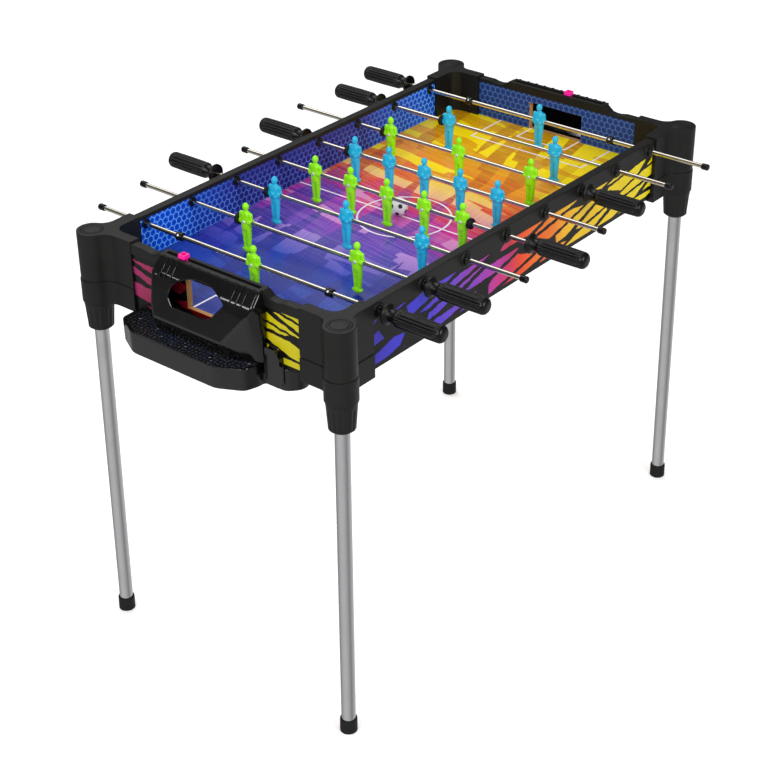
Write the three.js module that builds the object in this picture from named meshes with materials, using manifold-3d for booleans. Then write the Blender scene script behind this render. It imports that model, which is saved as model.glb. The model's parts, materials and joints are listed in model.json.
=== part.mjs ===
// Foosball table: a wooden play box on four tube legs, eight sliding and turning player rods,
// moulded corners and rails, a goal box with a ball tray and a score slider at each end.
// Millimetres. X runs along the rods, Y along the table, Z up from the floor.
import * as THREE from 'three';
import { mergeVertices } from 'three/addons/utils/BufferGeometryUtils.js';
import { ConvexGeometry } from 'three/addons/geometries/ConvexGeometry.js';
import Module from 'manifold-3d';

const wasm = await Module();
wasm.setup();

// Play box
const playWidth = 505;            // inside face to inside face of the long panels
const playLength = 964;           // inside face to inside face of the end panels
const underside = 666;            // height of the corners' underside above the floor
const panelThickness = 12;
const panelHeight = 114;
const panelLift = 8;              // panels' lower edge above the corners' underside
const fieldDepth = 74;            // field below the panels' top edge
const fieldThickness = 9;
const fieldTongue = 3.5;          // how far the field sits in the panels' grooves
const fitGap = 0.3;               // clearance between pieces that meet
const turnGap = 0.5;              // clearance round a bushing that turns in its panel
const goalWidth = 124;
const goalHeight = 56;

// Rails and corners
const railRise = 6;               // rail top above the panels
const railOverhang = 2.5;         // how far a rail stands out past its panel on each side
const innerLipDrop = 1.4;         // rail lips below the panels' top edge
const sideLipDrop = 24;
const endLipDrop = 12;
const cornerRise = 4;             // corner top above the rails
const stepRise = 44;              // step line round a corner, above its underside
const stepOut = 1.2;
const wingLength = 65.5;          // from the inside face of the box to a corner wing's end
const innerSkin = 6.5;            // corner wall inside the box
const sideSkin = 7.5;             // corner wall outside a long panel
const endSkin = 3.5;              // corner wall outside an end panel
const innerRound = 20;
const outerRound = 24;
const panelTenon = 24;            // how far a panel end sits in its corner
const postRadius = 27;
const postOutX = 22.1;            // post centre beyond the box's inside face
const postOutY = 19;
const capRadius = 20;
const capThickness = 4.5;
const capRecess = 4;
const capChamfer = 1;

// Legs
const legTube = 25.4;
const legWall = 1.5;
const legRoof = 58;               // solid top of a corner post over its leg
const legSplayX = 3.6;            // lean of a leg over its height below the corner
const legSplayY = 9;
const sleeveLength = 54;
const sleeveChamfer = 6;
const sleeveFootWall = 5;
const sleeveLowWall = 10.5;
const sleeveTopWall = 13.3;
const footHeight = 28;
const footWall = 2.5;
const footFloor = 4;
const footChamfer = 1.5;

// Rods
const rodDrop = 11;               // rod axis below the panels' top edge
const rodInset = 17.5;            // first rod from the end of a corner's wing
const rodDiameter = 8;
const rodSlack = 1;               // clearance round a bar in its plain hole
const handleLength = 115;
const handleBore = 74;
const handleFlange = 17;
const flangeThickness = 5;
const flangeCone = 3;
const gripRadius = 14;
const neckRadius = 9.5;
const neckEnd = 18;               // where a handle's neck starts to swell
const gripStart = 25;
const gripRound = [10, 6];        // length and depth of the rounding at a grip's end
const bushBarrel = 7;             // radius of a bushing in its panel
const bushFlange = 9;
const bushFlangeThickness = 2.5;
const bushNut = 10;
const bushNutThickness = 4.7;
const bossRadius = 13;
const bossOut = 5.2;              // rail boss beyond the outside face of the panel
const endCapRadius = 6;
const endCapLength = 14;
const collarRadius = 7.5;
const collarLength = 12;
const bumperRadius = 10;
const bumperLength = 8;
const bumperOut = 17;             // bumper ring beyond the middle of the outermost figure

// Figures, as half widths, half depths and heights from the rod's axis
const footClearance = 3;          // sole above the field
const headRise = 34;
const headRadius = 8;
const neck = { x: 4, y: 4, z: 21 };
const shoulder = { x: 10.5, y: 5.5, z: 15.5 };
const elbow = { x: 14, y: 5.5, z: 1 };
const hip = { x: 8.5, y: 6.5, z: -13 };
const ankle = { x: 6, y: 4.5, rise: 7 };
const footWing = { x: 10, y: 5, low: 5.5, high: 9.5 };
const sole = { x: 3.5, y: 3.5 };

// Score rails and sliders
const raisedInset = 77;           // end of a raised score rail from the end of the corner's wing
const raisedRise = 9;             // above the end rail
const raisedOut = 9;              // beyond the end panel
const raisedChamfer = [4, 2];
const dipStart = 18;              // the rail's dip beside the raised part
const dipRun = 16;
const dipDepth = 3.5;
const dipEnd = 14;
const dipShoulder = 1;
const slotWidth = 8;
const slotDepth = 6;
const slotInset = 6;              // slot's end from the raised rail's end
const slotIn = 3.5;               // slot's middle inside the end panel's outer face
const sliderSize = 15;
const sliderHeight = 7.5;
const sliderFloor = 3;
const tongueInset = 2;
const tickCount = 11;
const tickInset = 4;              // first tick from the slot's end
const tick = { width: 4, depth: 3, rise: 1.5, root: 1 };
const scoreRest = [-11 / 16, 1 / 4];   // near and far sliders, as shares of their travel each way

// Goal boxes: out is measured from the end panel
const housingWall = 3;
const shoulderOut = 29;           // the crease under the raised rail
const shoulderDrop = 22;
const sideBulge = 8;
const sideOut = 16;
const sideDrop = 4;               // flank's upper edge under the end rail's lip
const faceOut = 47;
const faceFoot = 8;               // front face's lower edge under the field
const kneeOut = 42;
const kneeRise = 16;
const facetInset = 54;            // the cut-away lower right corner, from the raised rail's end
const facetOut = 37;
const plinthOut = 30;
const ribWidth = 2.4;
const ribRise = 1;
const ribRoot = 8;                // how deep a rib is let into the shoulder
const roofLean = 1.4;             // the inner roof's drop for each millimetre of wall
const creaseFlare = 2;            // the shoulder's crease past the raised rail's ends
const footTaper = 2;
const faceTaper = [4, 12, 5];     // the front's ends drawn in at its knee, foot and facet
const ribPlaces = [44, 32, 20];   // from the raised rail's end
const windowInset = 44;
const windowMiddle = -3;
const windowSill = 20;            // above the field
const windowHead = 13;            // under the raised rail's top
const windowSpring = 18;          // centre of the window's arch above its sill

// Ball trays
const trayGap = 2.3;              // under the panels
const trayDepth = 41.7;
const trayWall = 4;
const deckOut = 63;
const deckCut = [48, 26];         // corner cut off the deck's front, across and along
const noseInset = 58;             // the deck's other front corner: where it starts from the raised
const hipInset = 12;              // rail's end, then its two bends with their places along the table
const hipCut = 23;
const sideInset = 4;
const sideCut = 49;
const trayReturn = 18;            // the deck's left end in under the end panel
const trayShoulder = 8;
const bracketSlope = 9;
const trayBack = 30;              // how far a tray runs in under the table
const trayInset = 19;             // its right end from the end of the corner's wing
const backInset = 37;
const bracketPlace = [68, 40];    // bracket's sides from the end of the corner's wing
const bracketLift = 12;
const bracketRise = [20, 32];     // its lower and upper shoulders above the panels' lower edge
const bracketThickness = 11;
const bracketRoot = 4;
const wellInset = [16, 70];       // tray well's sides from the raised rail's ends
const wellOut = 25;
const wellIn = 10;
const troughInset = [47, 31];     // trough's ends from the ends of the corners' wings
const troughStart = 2;

const ballDiameter = 33;
const ballRest = [-12, 0];

// A player rod is listed by team, place and handle side, then by the figures it carries.
// shift is where its group stands across the table. stub is the bar beyond the rail's boss on the
// free side, handleGap is the way from the bushing's nut to the handle, collars are stop rings
// from the group's middle, and bumper says on which side of the group a rubber ring sits.
const playerRods = [
  { name: 'green_goalie', side: 1, count: 1, gap: 0, shift: 2, stub: 98.3, handleGap: 8.3,
    collars: [-170, 165.5], bumper: 0 },
  { name: 'green_defence', side: 1, count: 2, gap: 250, shift: 3.5, stub: 111.3, handleGap: 5.8,
    collars: [], bumper: -1 },
  { name: 'blue_attack', side: -1, count: 3, gap: 166.5, shift: 8.7, stub: 121.8, handleGap: 27.3,
    collars: [], bumper: -1 },
  { name: 'green_midfield', side: 1, count: 5, gap: 84, shift: 6.5, stub: 74.3, handleGap: 40.3,
    collars: [], bumper: 1 },
  { name: 'blue_midfield', side: -1, count: 5, gap: 82, shift: 1.8, stub: 122.3, handleGap: 8.5,
    collars: [], bumper: -1 },
  { name: 'green_attack', side: 1, count: 3, gap: 163, shift: -5.7, stub: 136.3, handleGap: 5.8,
    collars: [], bumper: -1 },
  { name: 'blue_defence', side: -1, count: 2, gap: 248, shift: 8.7, stub: 116.3, handleGap: 10.6,
    collars: [], bumper: -1 },
  { name: 'blue_goalie', side: -1, count: 1, gap: 0, shift: 18, stub: 124.3, handleGap: 28.3,
    collars: [-168, 164], bumper: 0 }
];

// Heights that follow from the sizes above
const panelBottom = underside + panelLift;
const panelTop = panelBottom + panelHeight;
const fieldTop = panelTop - fieldDepth;
const goalTop = fieldTop + goalHeight;
const railTop = panelTop + railRise;
const railInnerLip = panelTop - innerLipDrop;
const endRailOuterLip = panelTop - endLipDrop;
const cornerTop = railTop + cornerRise;
const cornerStep = underside + stepRise;
const legTop = cornerTop - legRoof;
const rodHeight = panelTop - rodDrop;
const footDrop = rodHeight - fieldTop - footClearance;
const raisedTop = railTop + raisedRise;
const trayTop = panelBottom - trayGap;
const trayBottom = trayTop - trayDepth;

// Places that follow
const boxHalfX = playWidth / 2;
const boxHalfY = playLength / 2;
const outHalfX = boxHalfX + panelThickness;
const outHalfY = boxHalfY + panelThickness;
const wingEndX = boxHalfX - wingLength;
const wingEndY = boxHalfY - wingLength;
const postX = boxHalfX + postOutX;
const postY = boxHalfY + postOutY;
const bushBore = rodDiameter / 2 + fitGap;
const bushHole = bushBarrel + turnGap;
const rodHole = rodDiameter / 2 + rodSlack;
const railOutX = outHalfX + railOverhang;
const bossFace = outHalfX + bossOut;
const nutFace = bossFace + fitGap + bushNutThickness;
const raisedHalf = wingEndX - raisedInset;
const slotHalf = raisedHalf - slotInset;
const slotY = outHalfY - slotIn;
const sliderTravel = slotHalf - sliderSize / 2 - fitGap;
const rodPitch = 2 * (wingEndY - rodInset) / (playerRods.length - 1);

const rodY = (index) => (index - (playerRods.length - 1) / 2) * rodPitch;

// A closed geometry as a solid, turned right way out.
function solid(geometry) {
  const bare = geometry.clone();
  bare.deleteAttribute('normal');
  bare.deleteAttribute('uv');
  const merged = mergeVertices(bare, 1e-4);
  const place = merged.attributes.position;
  const index = Array.from(merged.index.array);
  const a = new THREE.Vector3();
  const b = new THREE.Vector3();
  const c = new THREE.Vector3();
  const faces = [];
  let volume = 0;
  for (let i = 0; i < index.length; i += 3) {
    const [p, q, r] = index.slice(i, i + 3);
    if (p !== q && q !== r && r !== p) {
      faces.push(p, q, r);
      a.fromBufferAttribute(place, p);
      b.fromBufferAttribute(place, q);
      c.fromBufferAttribute(place, r);
      volume += a.dot(b.cross(c));
    }
  }
  if (volume < 0) faces.reverse();
  const vertProperties = new Float32Array(place.array);
  const triVerts = new Uint32Array(faces);
  return new wasm.Manifold(new wasm.Mesh({ numProp: 3, vertProperties, triVerts }));
}

// A solid as a geometry again.
function surface(body) {
  const mesh = body.getMesh();
  const geometry = new THREE.BufferGeometry();
  const places = new Float32Array(mesh.vertProperties);
  geometry.setAttribute('position', new THREE.BufferAttribute(places, 3));
  geometry.setIndex(new THREE.BufferAttribute(new Uint32Array(mesh.triVerts), 1));
  geometry.computeVertexNormals();
  return geometry;
}

function joined(solids) {
  return solids.reduce((whole, next) => whole.add(next));
}

function box(x0, x1, y0, y1, z0, z1) {
  const geometry = new THREE.BoxGeometry(x1 - x0, y1 - y0, z1 - z0);
  geometry.translate((x0 + x1) / 2, (y0 + y1) / 2, (z0 + z1) / 2);
  return solid(geometry);
}

// A box given by any two opposite corners.
function boxBetween([xa, ya, za], [xb, yb, zb]) {
  return box(Math.min(xa, xb), Math.max(xa, xb), Math.min(ya, yb), Math.max(ya, yb),
    Math.min(za, zb), Math.max(za, zb));
}

function extruded(points, depth) {
  const shape = new THREE.Shape(points.map(([x, y]) => new THREE.Vector2(x, y)));
  return new THREE.ExtrudeGeometry(shape, { depth, bevelEnabled: false });
}

// An outline in X and Y, raised from one height to another.
function prism(points, z0, z1) {
  const geometry = extruded(points, z1 - z0);
  geometry.translate(0, 0, z0);
  return solid(geometry);
}

// An outline in X and Z, run from one Y to another.
function prismAlongY(points, y0, y1) {
  const geometry = extruded(points, y1 - y0);
  geometry.rotateX(Math.PI / 2);
  geometry.translate(0, y1, 0);
  return solid(geometry);
}

function hull(points) {
  return solid(new ConvexGeometry(points.map(([x, y, z]) => new THREE.Vector3(x, y, z))));
}

// A [radius, distance] outline turned about the X axis and set at a place.
function turnedX(profile, x, y, z, side = 1, sides = 12) {
  const geometry = new THREE.LatheGeometry(profile.map(([r, d]) => new THREE.Vector2(r, d)), sides);
  geometry.rotateZ(-Math.PI / 2);
  geometry.scale(side, 1, 1);
  geometry.translate(x, y, z);
  return solid(geometry);
}

function discX(radius, x0, x1, y, z, sides = 12) {
  return turnedX([[0, x0], [radius, x0], [radius, x1], [0, x1]], 0, y, z, 1, sides);
}

// A [radius, height] outline turned about an upright axis at the origin.
function turnedZ(profile, sides = 16) {
  const geometry = new THREE.LatheGeometry(profile.map(([r, d]) => new THREE.Vector2(r, d)), sides);
  geometry.rotateX(Math.PI / 2);
  return geometry;
}

function arcPoints(cx, cy, radius, from, to, steps, radiusY = radius) {
  const points = [];
  for (let i = 0; i <= steps; i += 1) {
    const angle = from + (to - from) * i / steps;
    points.push([cx + radius * Math.cos(angle), cy + radiusY * Math.sin(angle)]);
  }
  return points;
}

// Playing field: a flat board whose edges sit in grooves in the four panels.
function playfield() {
  const x = boxHalfX + fieldTongue;
  const y = boxHalfY + fieldTongue;
  return box(-x, x, -y, y, fieldTop - fieldThickness, fieldTop);
}

// The field's own space with its clearance, cut from whatever holds it.
function fieldSpace() {
  const x = boxHalfX + fieldTongue + fitGap;
  const y = boxHalfY + fieldTongue + fitGap;
  return box(-x, x, -y, y, fieldTop - fieldThickness - fitGap, fieldTop + fitGap);
}

// A hole for each rod through one side, at the bushing's size on the rod's handle side
// and the bar's on the other.
function rodHoles(side) {
  const ends = [side * (boxHalfX - panelThickness), side * (bossFace + panelThickness)];
  return joined(playerRods.map((rod, i) => {
    const radius = rod.side === side ? bushHole : rodHole;
    return discX(radius, Math.min(...ends), Math.max(...ends), rodY(i), rodHeight);
  }));
}

// Long panel with its row of rod holes.
function sidePanel(side) {
  const reach = wingEndY + panelTenon;
  const board = boxBetween([side * boxHalfX, -reach, panelBottom], [side * outHalfX, reach, panelTop]);
  return board.subtract(rodHoles(side)).subtract(fieldSpace());
}

// End panel with its goal mouth.
function endPanel(end) {
  const reach = wingEndX + panelTenon;
  const board = boxBetween([-reach, end * boxHalfY, panelBottom], [reach, end * outHalfY, panelTop]);
  const mouth = boxBetween([-goalWidth / 2, end * (boxHalfY - 1), fieldTop + fitGap],
    [goalWidth / 2, end * (outHalfY + 1), goalTop]);
  return board.subtract(mouth).subtract(fieldSpace());
}

// Channel over a long panel, with a round boss at each rod.
function sideRail(side) {
  const reach = wingEndY - fitGap;
  const innerX = boxHalfX - railOverhang;
  const outerLipBottom = panelTop - sideLipDrop;
  const top = box(innerX, railOutX, -reach, reach, panelTop + fitGap, railTop);
  const innerLip = box(innerX, boxHalfX - fitGap, -reach, reach, railInnerLip, railTop);
  const outerLip = box(outHalfX + fitGap, railOutX, -reach, reach, outerLipBottom, railTop);
  const bosses = playerRods.map((rod, i) => {
    return discX(bossRadius, outHalfX + fitGap, bossFace, rodY(i), rodHeight);
  });
  const rail = joined([top, innerLip, outerLip, ...bosses]);
  const placed = side > 0 ? rail : mirroredX(rail);
  return placed.subtract(rodHoles(side));
}

function mirroredX(body) {
  const geometry = surface(body);
  geometry.scale(-1, 1, 1);
  return solid(geometry);
}

// The far end is the near end turned half round.
function turnedRound(body) {
  const geometry = surface(body);
  geometry.rotateZ(Math.PI);
  return solid(geometry);
}

// Channel over an end panel: level at the corners, dipped, then raised for the score slot.
function endRailNear() {
  const reach = wingEndX - fitGap;
  const y0 = -outHalfY - railOverhang;
  const y1 = -boxHalfY + railOverhang;
  const under = panelTop + fitGap;
  const rise = raisedHalf + dipStart;
  const dip = rise + dipRun;
  const half = [[reach, under], [reach, railTop], [dip + dipEnd, railTop - dipShoulder],
    [dip, railTop - dipDepth], [rise, railTop - dipShoulder],
    [raisedHalf + raisedChamfer[0], raisedTop - raisedChamfer[1]], [raisedHalf, raisedTop]];
  const otherHalf = half.map(([x, z]) => [-x, z]).reverse();
  const top = prismAlongY([...half, ...otherHalf], y0, y1);
  const innerLip = box(-reach, reach, -boxHalfY + fitGap, y1, railInnerLip, under + 1);
  const outerLip = box(-reach, reach, y0, -outHalfY - fitGap, endRailOuterLip, under + 1);
  const raised = box(-raisedHalf, raisedHalf, -outHalfY - raisedOut, y1, under, raisedTop);
  const slot = box(-slotHalf, slotHalf, -slotY - slotWidth / 2, -slotY + slotWidth / 2,
    raisedTop - slotDepth, raisedTop + 1);
  const edge = -outHalfY - raisedOut;
  const tickPitch = 2 * (slotHalf - tickInset) / (tickCount - 1);
  const ticks = Array.from({ length: tickCount }, (_, i) => {
    const x = (i - (tickCount - 1) / 2) * tickPitch;
    return box(x - tick.width / 2, x + tick.width / 2, edge, edge + tick.depth,
      raisedTop - tick.root, raisedTop + tick.rise);
  });
  return joined([top, innerLip, outerLip, raised, ...ticks]).subtract(slot);
}

// A square block round a place in X and Y, from one height to another.
function blockAt(x, y, halfX, halfY, z0, z1) {
  return box(x - halfX, x + halfX, y - halfY, y + halfY, z0, z1);
}

// Score slider: a square ring with a tongue in the rail's slot.
function scoreSlider(end, share) {
  const x = share * sliderTravel;
  const y = end * slotY;
  const half = sliderSize / 2;
  const foot = raisedTop + fitGap;
  const ring = blockAt(x, y, half, half, foot, foot + sliderHeight);
  const pocket = blockAt(x, y, half / 2, half / 2, foot + sliderFloor, foot + sliderHeight + 1);
  const tongue = blockAt(x, y, half - tongueInset, slotWidth / 2 - fitGap,
    raisedTop - slotDepth + fitGap, foot + 1);
  return ring.subtract(pocket).add(tongue);
}

// A corner's outline: two wings that meet a round post, blended on the outside
// and rounded on the inside. grow moves the outside faces out.
function cornerOutline(grow) {
  const radius = postRadius + grow;
  const faceX = outHalfX + sideSkin + grow;
  const faceY = outHalfY + endSkin + grow;
  const insideX = boxHalfX - innerSkin;
  const insideY = boxHalfY - innerSkin;
  const spread = radius + outerRound;
  const blendX = faceX + outerRound;
  const blendXAt = postY - Math.sqrt(spread ** 2 - (blendX - postX) ** 2);
  const blendY = faceY + outerRound;
  const blendYAt = postX - Math.sqrt(spread ** 2 - (blendY - postY) ** 2);
  const angleX = Math.atan2(blendXAt - postY, blendX - postX);
  const angleY = Math.atan2(blendY - postY, blendYAt - postX);
  const inside = arcPoints(insideX - innerRound, insideY - innerRound, innerRound, Math.PI / 2, 0, 4);
  const blendA = arcPoints(blendX, blendXAt, outerRound, Math.PI, angleX + Math.PI, 3);
  const post = arcPoints(postX, postY, radius, angleX, angleY, 14);
  const blendB = arcPoints(blendYAt, blendY, outerRound, angleY - Math.PI, -Math.PI / 2, 3);
  return [[wingEndX, insideY], ...inside, [insideX, wingEndY], [faceX, wingEndY], ...blendA,
    ...post.slice(1, -1), ...blendB, [wingEndX, faceY]];
}

function legPiece(profile, sideX, sideY) {
  const geometry = turnedZ(profile);
  const place = geometry.attributes.position;
  for (let i = 0; i < place.count; i += 1) {
    const below = (underside - place.getZ(i)) / underside;
    place.setX(i, place.getX(i) + sideX * (postX + legSplayX * below));
    place.setY(i, place.getY(i) + sideY * (postY + legSplayY * below));
  }
  return solid(geometry);
}

// Corner moulding: post, wings with slots for the panel ends, leg socket and cap recess.
function corner(sideX, sideY) {
  const flip = ([x, y]) => [sideX * x, sideY * y];
  const lower = prism(cornerOutline(stepOut).map(flip), underside, cornerStep);
  const upper = prism(cornerOutline(0).map(flip), cornerStep - 1, cornerTop);
  const slotEnd = panelTenon + fitGap;
  const slotLow = panelBottom - fitGap;
  const slotHigh = panelTop + fitGap;
  const sideSlot = boxBetween([...flip([boxHalfX - fitGap, wingEndY - 1]), slotLow],
    [...flip([outHalfX + fitGap, wingEndY + slotEnd]), slotHigh]);
  const endSlot = boxBetween([...flip([wingEndX - 1, boxHalfY - fitGap]), slotLow],
    [...flip([wingEndX + slotEnd, outHalfY + fitGap]), slotHigh]);
  const bore = legTube / 2 + fitGap;
  const socket = legPiece([[0, underside - bore], [bore, underside - bore],
    [bore, legTop + fitGap], [0, legTop + fitGap]], sideX, sideY);
  const recessGeometry = turnedZ([[0, cornerTop - capRecess], [capRadius + fitGap, cornerTop - capRecess],
    [capRadius + fitGap, cornerTop + 1], [0, cornerTop + 1]]);
  recessGeometry.translate(sideX * postX, sideY * postY, 0);
  return lower.add(upper).subtract(sideSlot).subtract(endSlot).subtract(fieldSpace())
    .subtract(socket).subtract(solid(recessGeometry));
}

// Round cap let into the top of a post.
function cornerCap(sideX, sideY) {
  const foot = cornerTop - capRecess + fitGap;
  const top = foot + capThickness;
  const geometry = turnedZ([[0, foot], [capRadius, foot], [capRadius, top - capChamfer],
    [capRadius - capChamfer, top], [0, top]]);
  geometry.translate(sideX * postX, sideY * postY, 0);
  return solid(geometry);
}

// Tapered sleeve between the corner and the leg tube.
function legSleeve(sideX, sideY) {
  const bore = legTube / 2 + fitGap;
  const top = underside - fitGap;
  const foot = underside - sleeveLength;
  return legPiece([[bore, foot], [bore + sleeveFootWall, foot],
    [bore + sleeveLowWall, foot + sleeveChamfer], [bore + sleeveTopWall, top - sleeveChamfer],
    [bore + sleeveTopWall, top], [bore, top], [bore, foot]], sideX, sideY);
}

function legTubePiece(sideX, sideY) {
  const outer = legTube / 2;
  const inner = outer - legWall;
  const foot = footFloor + fitGap;
  return legPiece([[inner, foot], [outer, foot], [outer, legTop], [inner, legTop], [inner, foot]],
    sideX, sideY);
}

// Cup-shaped foot that the tube stands in.
function footCap(sideX, sideY) {
  const inner = legTube / 2 + fitGap;
  const outer = inner + footWall;
  return legPiece([[0, 0], [outer - footChamfer, 0], [outer, footChamfer], [outer, footHeight],
    [inner, footHeight], [inner, footFloor], [0, footFloor]], sideX, sideY);
}

// Bushing that a rod turns and slides in, on its handle side.
function bushing(rod, index) {
  const inner = boxHalfX - fitGap - bushFlangeThickness;
  const nut = bossFace + fitGap;
  const profile = [[bushBore, inner], [bushFlange, inner], [bushFlange, inner + bushFlangeThickness],
    [bushBarrel, inner + bushFlangeThickness], [bushBarrel, nut], [bushNut, nut],
    [bushNut, nut + bushNutThickness], [bushBore, nut + bushNutThickness], [bushBore, inner]];
  return turnedX(profile, 0, rodY(index), rodHeight, rod.side);
}

// Four corners of a level rectangle.
function level(halfX, halfY, z) {
  return [[-halfX, -halfY, z], [halfX, -halfY, z], [halfX, halfY, z], [-halfX, halfY, z]];
}

// One moulded figure, standing upright on its bar: a body with bent arms, legs, and a foot
// that spreads to both sides and narrows to the sole.
function figure(x, y) {
  const at = ([dx, dy, dz]) => [x + dx, y + dy, rodHeight + dz];
  const body = hull([...level(neck.x, neck.y, neck.z), ...level(shoulder.x, shoulder.y, shoulder.z),
    ...level(elbow.x, elbow.y, elbow.z), ...level(hip.x, hip.y, hip.z)].map(at));
  const legs = hull([...level(hip.x, hip.y, hip.z + 1),
    ...level(ankle.x, ankle.y, ankle.rise - footDrop)].map(at));
  const foot = hull([...level(sole.x, sole.y, -footDrop),
    ...level(footWing.x, footWing.y, footWing.low - footDrop),
    ...level(ankle.x, footWing.y, footWing.high - footDrop)].map(at));
  const head = new THREE.IcosahedronGeometry(headRadius, 0);
  head.translate(x, y, rodHeight + headRise - headRadius);
  return joined([body, legs, foot, solid(head)]);
}

// Where a rod's figures stand, from its group's middle.
function figurePlaces(rod) {
  return Array.from({ length: rod.count }, (_, i) => (i - (rod.count - 1) / 2) * rod.gap);
}

// Steel bar with its figures, stop rings and end cap.
function playerRod(rod, index) {
  const y = rodY(index);
  const places = figurePlaces(rod);
  const disc = (radius, xa, xb) => discX(radius, Math.min(xa, xb), Math.max(xa, xb), y, rodHeight, 8);
  const ring = (radius, middle, length) => disc(radius, middle - length / 2, middle + length / 2);
  const free = -rod.side * (bossFace + rod.stub);
  const held = rod.side * (nutFace + rod.handleGap + handleBore - 1);
  const bar = disc(rodDiameter / 2, free, held);
  const cap = disc(endCapRadius, free, free + rod.side * endCapLength);
  const figures = places.map((place) => figure(rod.shift + place, y));
  const rings = rod.collars.map((middle) => ring(collarRadius, rod.shift + middle, collarLength));
  if (rod.bumper) {
    const outermost = rod.bumper * (Math.max(...places) + bumperOut);
    rings.push(ring(bumperRadius, rod.shift + outermost, bumperLength));
  }
  return joined([bar, cap, ...figures, ...rings]);
}

// Moulded grip with a stop flange and a blind bore for the bar.
function handle(rod, index) {
  const bore = rodDiameter / 2 + fitGap;
  const [roundLength, roundDepth] = gripRound;
  const profile = [[0, handleBore], [bore, handleBore], [bore, 0], [handleFlange, 0],
    [handleFlange, flangeThickness], [neckRadius, flangeThickness + flangeCone],
    [neckRadius, neckEnd], [gripRadius, gripStart], [gripRadius, handleLength - roundLength],
    [gripRadius - roundDepth, handleLength], [0, handleLength]];
  return turnedX(profile, rod.side * (nutFace + rod.handleGap), rodY(index), rodHeight, rod.side, 10);
}

// Goal box outline, drawn in by inset for its inside and run past its open back and foot.
function housingBody(inset) {
  const back = inset ? -boxHalfY - panelThickness / 2 : -outHalfY - fitGap;
  const foot = inset ? trayTop - sideDrop : trayTop + fitGap;
  const wide = raisedHalf - inset;
  const out = (depth) => -outHalfY - depth + inset;
  const top = raisedTop - raisedChamfer[1] - inset * roofLean;
  const crease = raisedTop - shoulderDrop - inset / 2;
  const flank = endRailOuterLip - sideDrop;
  const facet = raisedHalf - facetInset - inset;
  return hull([
    [-wide, back, top], [wide, back, top],
    [-wide, out(raisedOut), top], [wide, out(raisedOut), top],
    [-wide - creaseFlare, out(shoulderOut), crease], [wide + creaseFlare, out(shoulderOut), crease],
    [-wide - sideBulge, back, flank], [wide + sideBulge, back, flank],
    [-wide - sideBulge, out(sideOut), flank - sideDrop], [wide + sideBulge, out(sideOut), flank - sideDrop],
    [-wide - sideBulge + footTaper, back, foot], [wide + sideBulge - footTaper, back, foot],
    [-wide + faceTaper[0], out(kneeOut), fieldTop + kneeRise],
    [-wide + faceTaper[1], out(faceOut), fieldTop - faceFoot],
    [facet, out(faceOut), fieldTop - faceFoot], [wide - faceTaper[2], out(facetOut), flank - 2 * sideDrop],
    [-wide + footTaper, out(plinthOut), foot], [facet - footTaper, out(plinthOut), foot],
    [wide - sideBulge, out(sideOut - footTaper), foot]
  ]);
}

// The window in the near goal box: an arch that slopes down to a short sill on its right.
function windowOutline() {
  const half = raisedHalf - windowInset;
  const sill = fieldTop + windowSill;
  const rise = raisedTop - windowHead - sill - windowSpring;
  const arch = arcPoints(windowMiddle, sill + windowSpring, half, Math.PI * 1.05, Math.PI * 0.2, 8, rise);
  return [[-half * 0.88, sill], ...arch, [half * 0.94, sill + windowSpring + rise / 2],
    [half * 0.36, sill + 4], [half * 0.24, sill]];
}

// A thin rib over the shoulder of the goal box.
function rib(x) {
  const top = raisedTop - raisedChamfer[1];
  const crease = raisedTop - shoulderDrop;
  const edge = [[raisedOut + ribRise, top + ribRise], [shoulderOut + ribRise, crease + ribRise],
    [shoulderOut - 2 * ribRise, crease - ribRoot / 2], [raisedOut + ribRise, top - ribRoot]];
  const faces = [-ribWidth / 2, ribWidth / 2];
  return hull(faces.flatMap((side) => edge.map(([depth, z]) => [x + side, -outHalfY - depth, z])));
}

// Goal box at the near end: an open-backed shell with a window and ribs at its shoulders.
function housingNear() {
  const opening = prismAlongY(windowOutline(), -outHalfY - faceOut - 1, -outHalfY - housingWall * 2);
  const railSpace = box(-raisedHalf - 1, raisedHalf + 1, -outHalfY - raisedOut - fitGap, -outHalfY + 1,
    panelTop, raisedTop + housingWall);
  const lipSpace = box(-wingEndX, wingEndX, -outHalfY - railOverhang - fitGap, -outHalfY + 1,
    endRailOuterLip - fitGap, raisedTop);
  const ribs = ribPlaces.flatMap((inset) => [rib(raisedHalf - inset), rib(inset - raisedHalf)]);
  return joined([housingBody(0).subtract(housingBody(housingWall)), ...ribs])
    .subtract(railSpace).subtract(lipSpace).subtract(opening);
}

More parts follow.
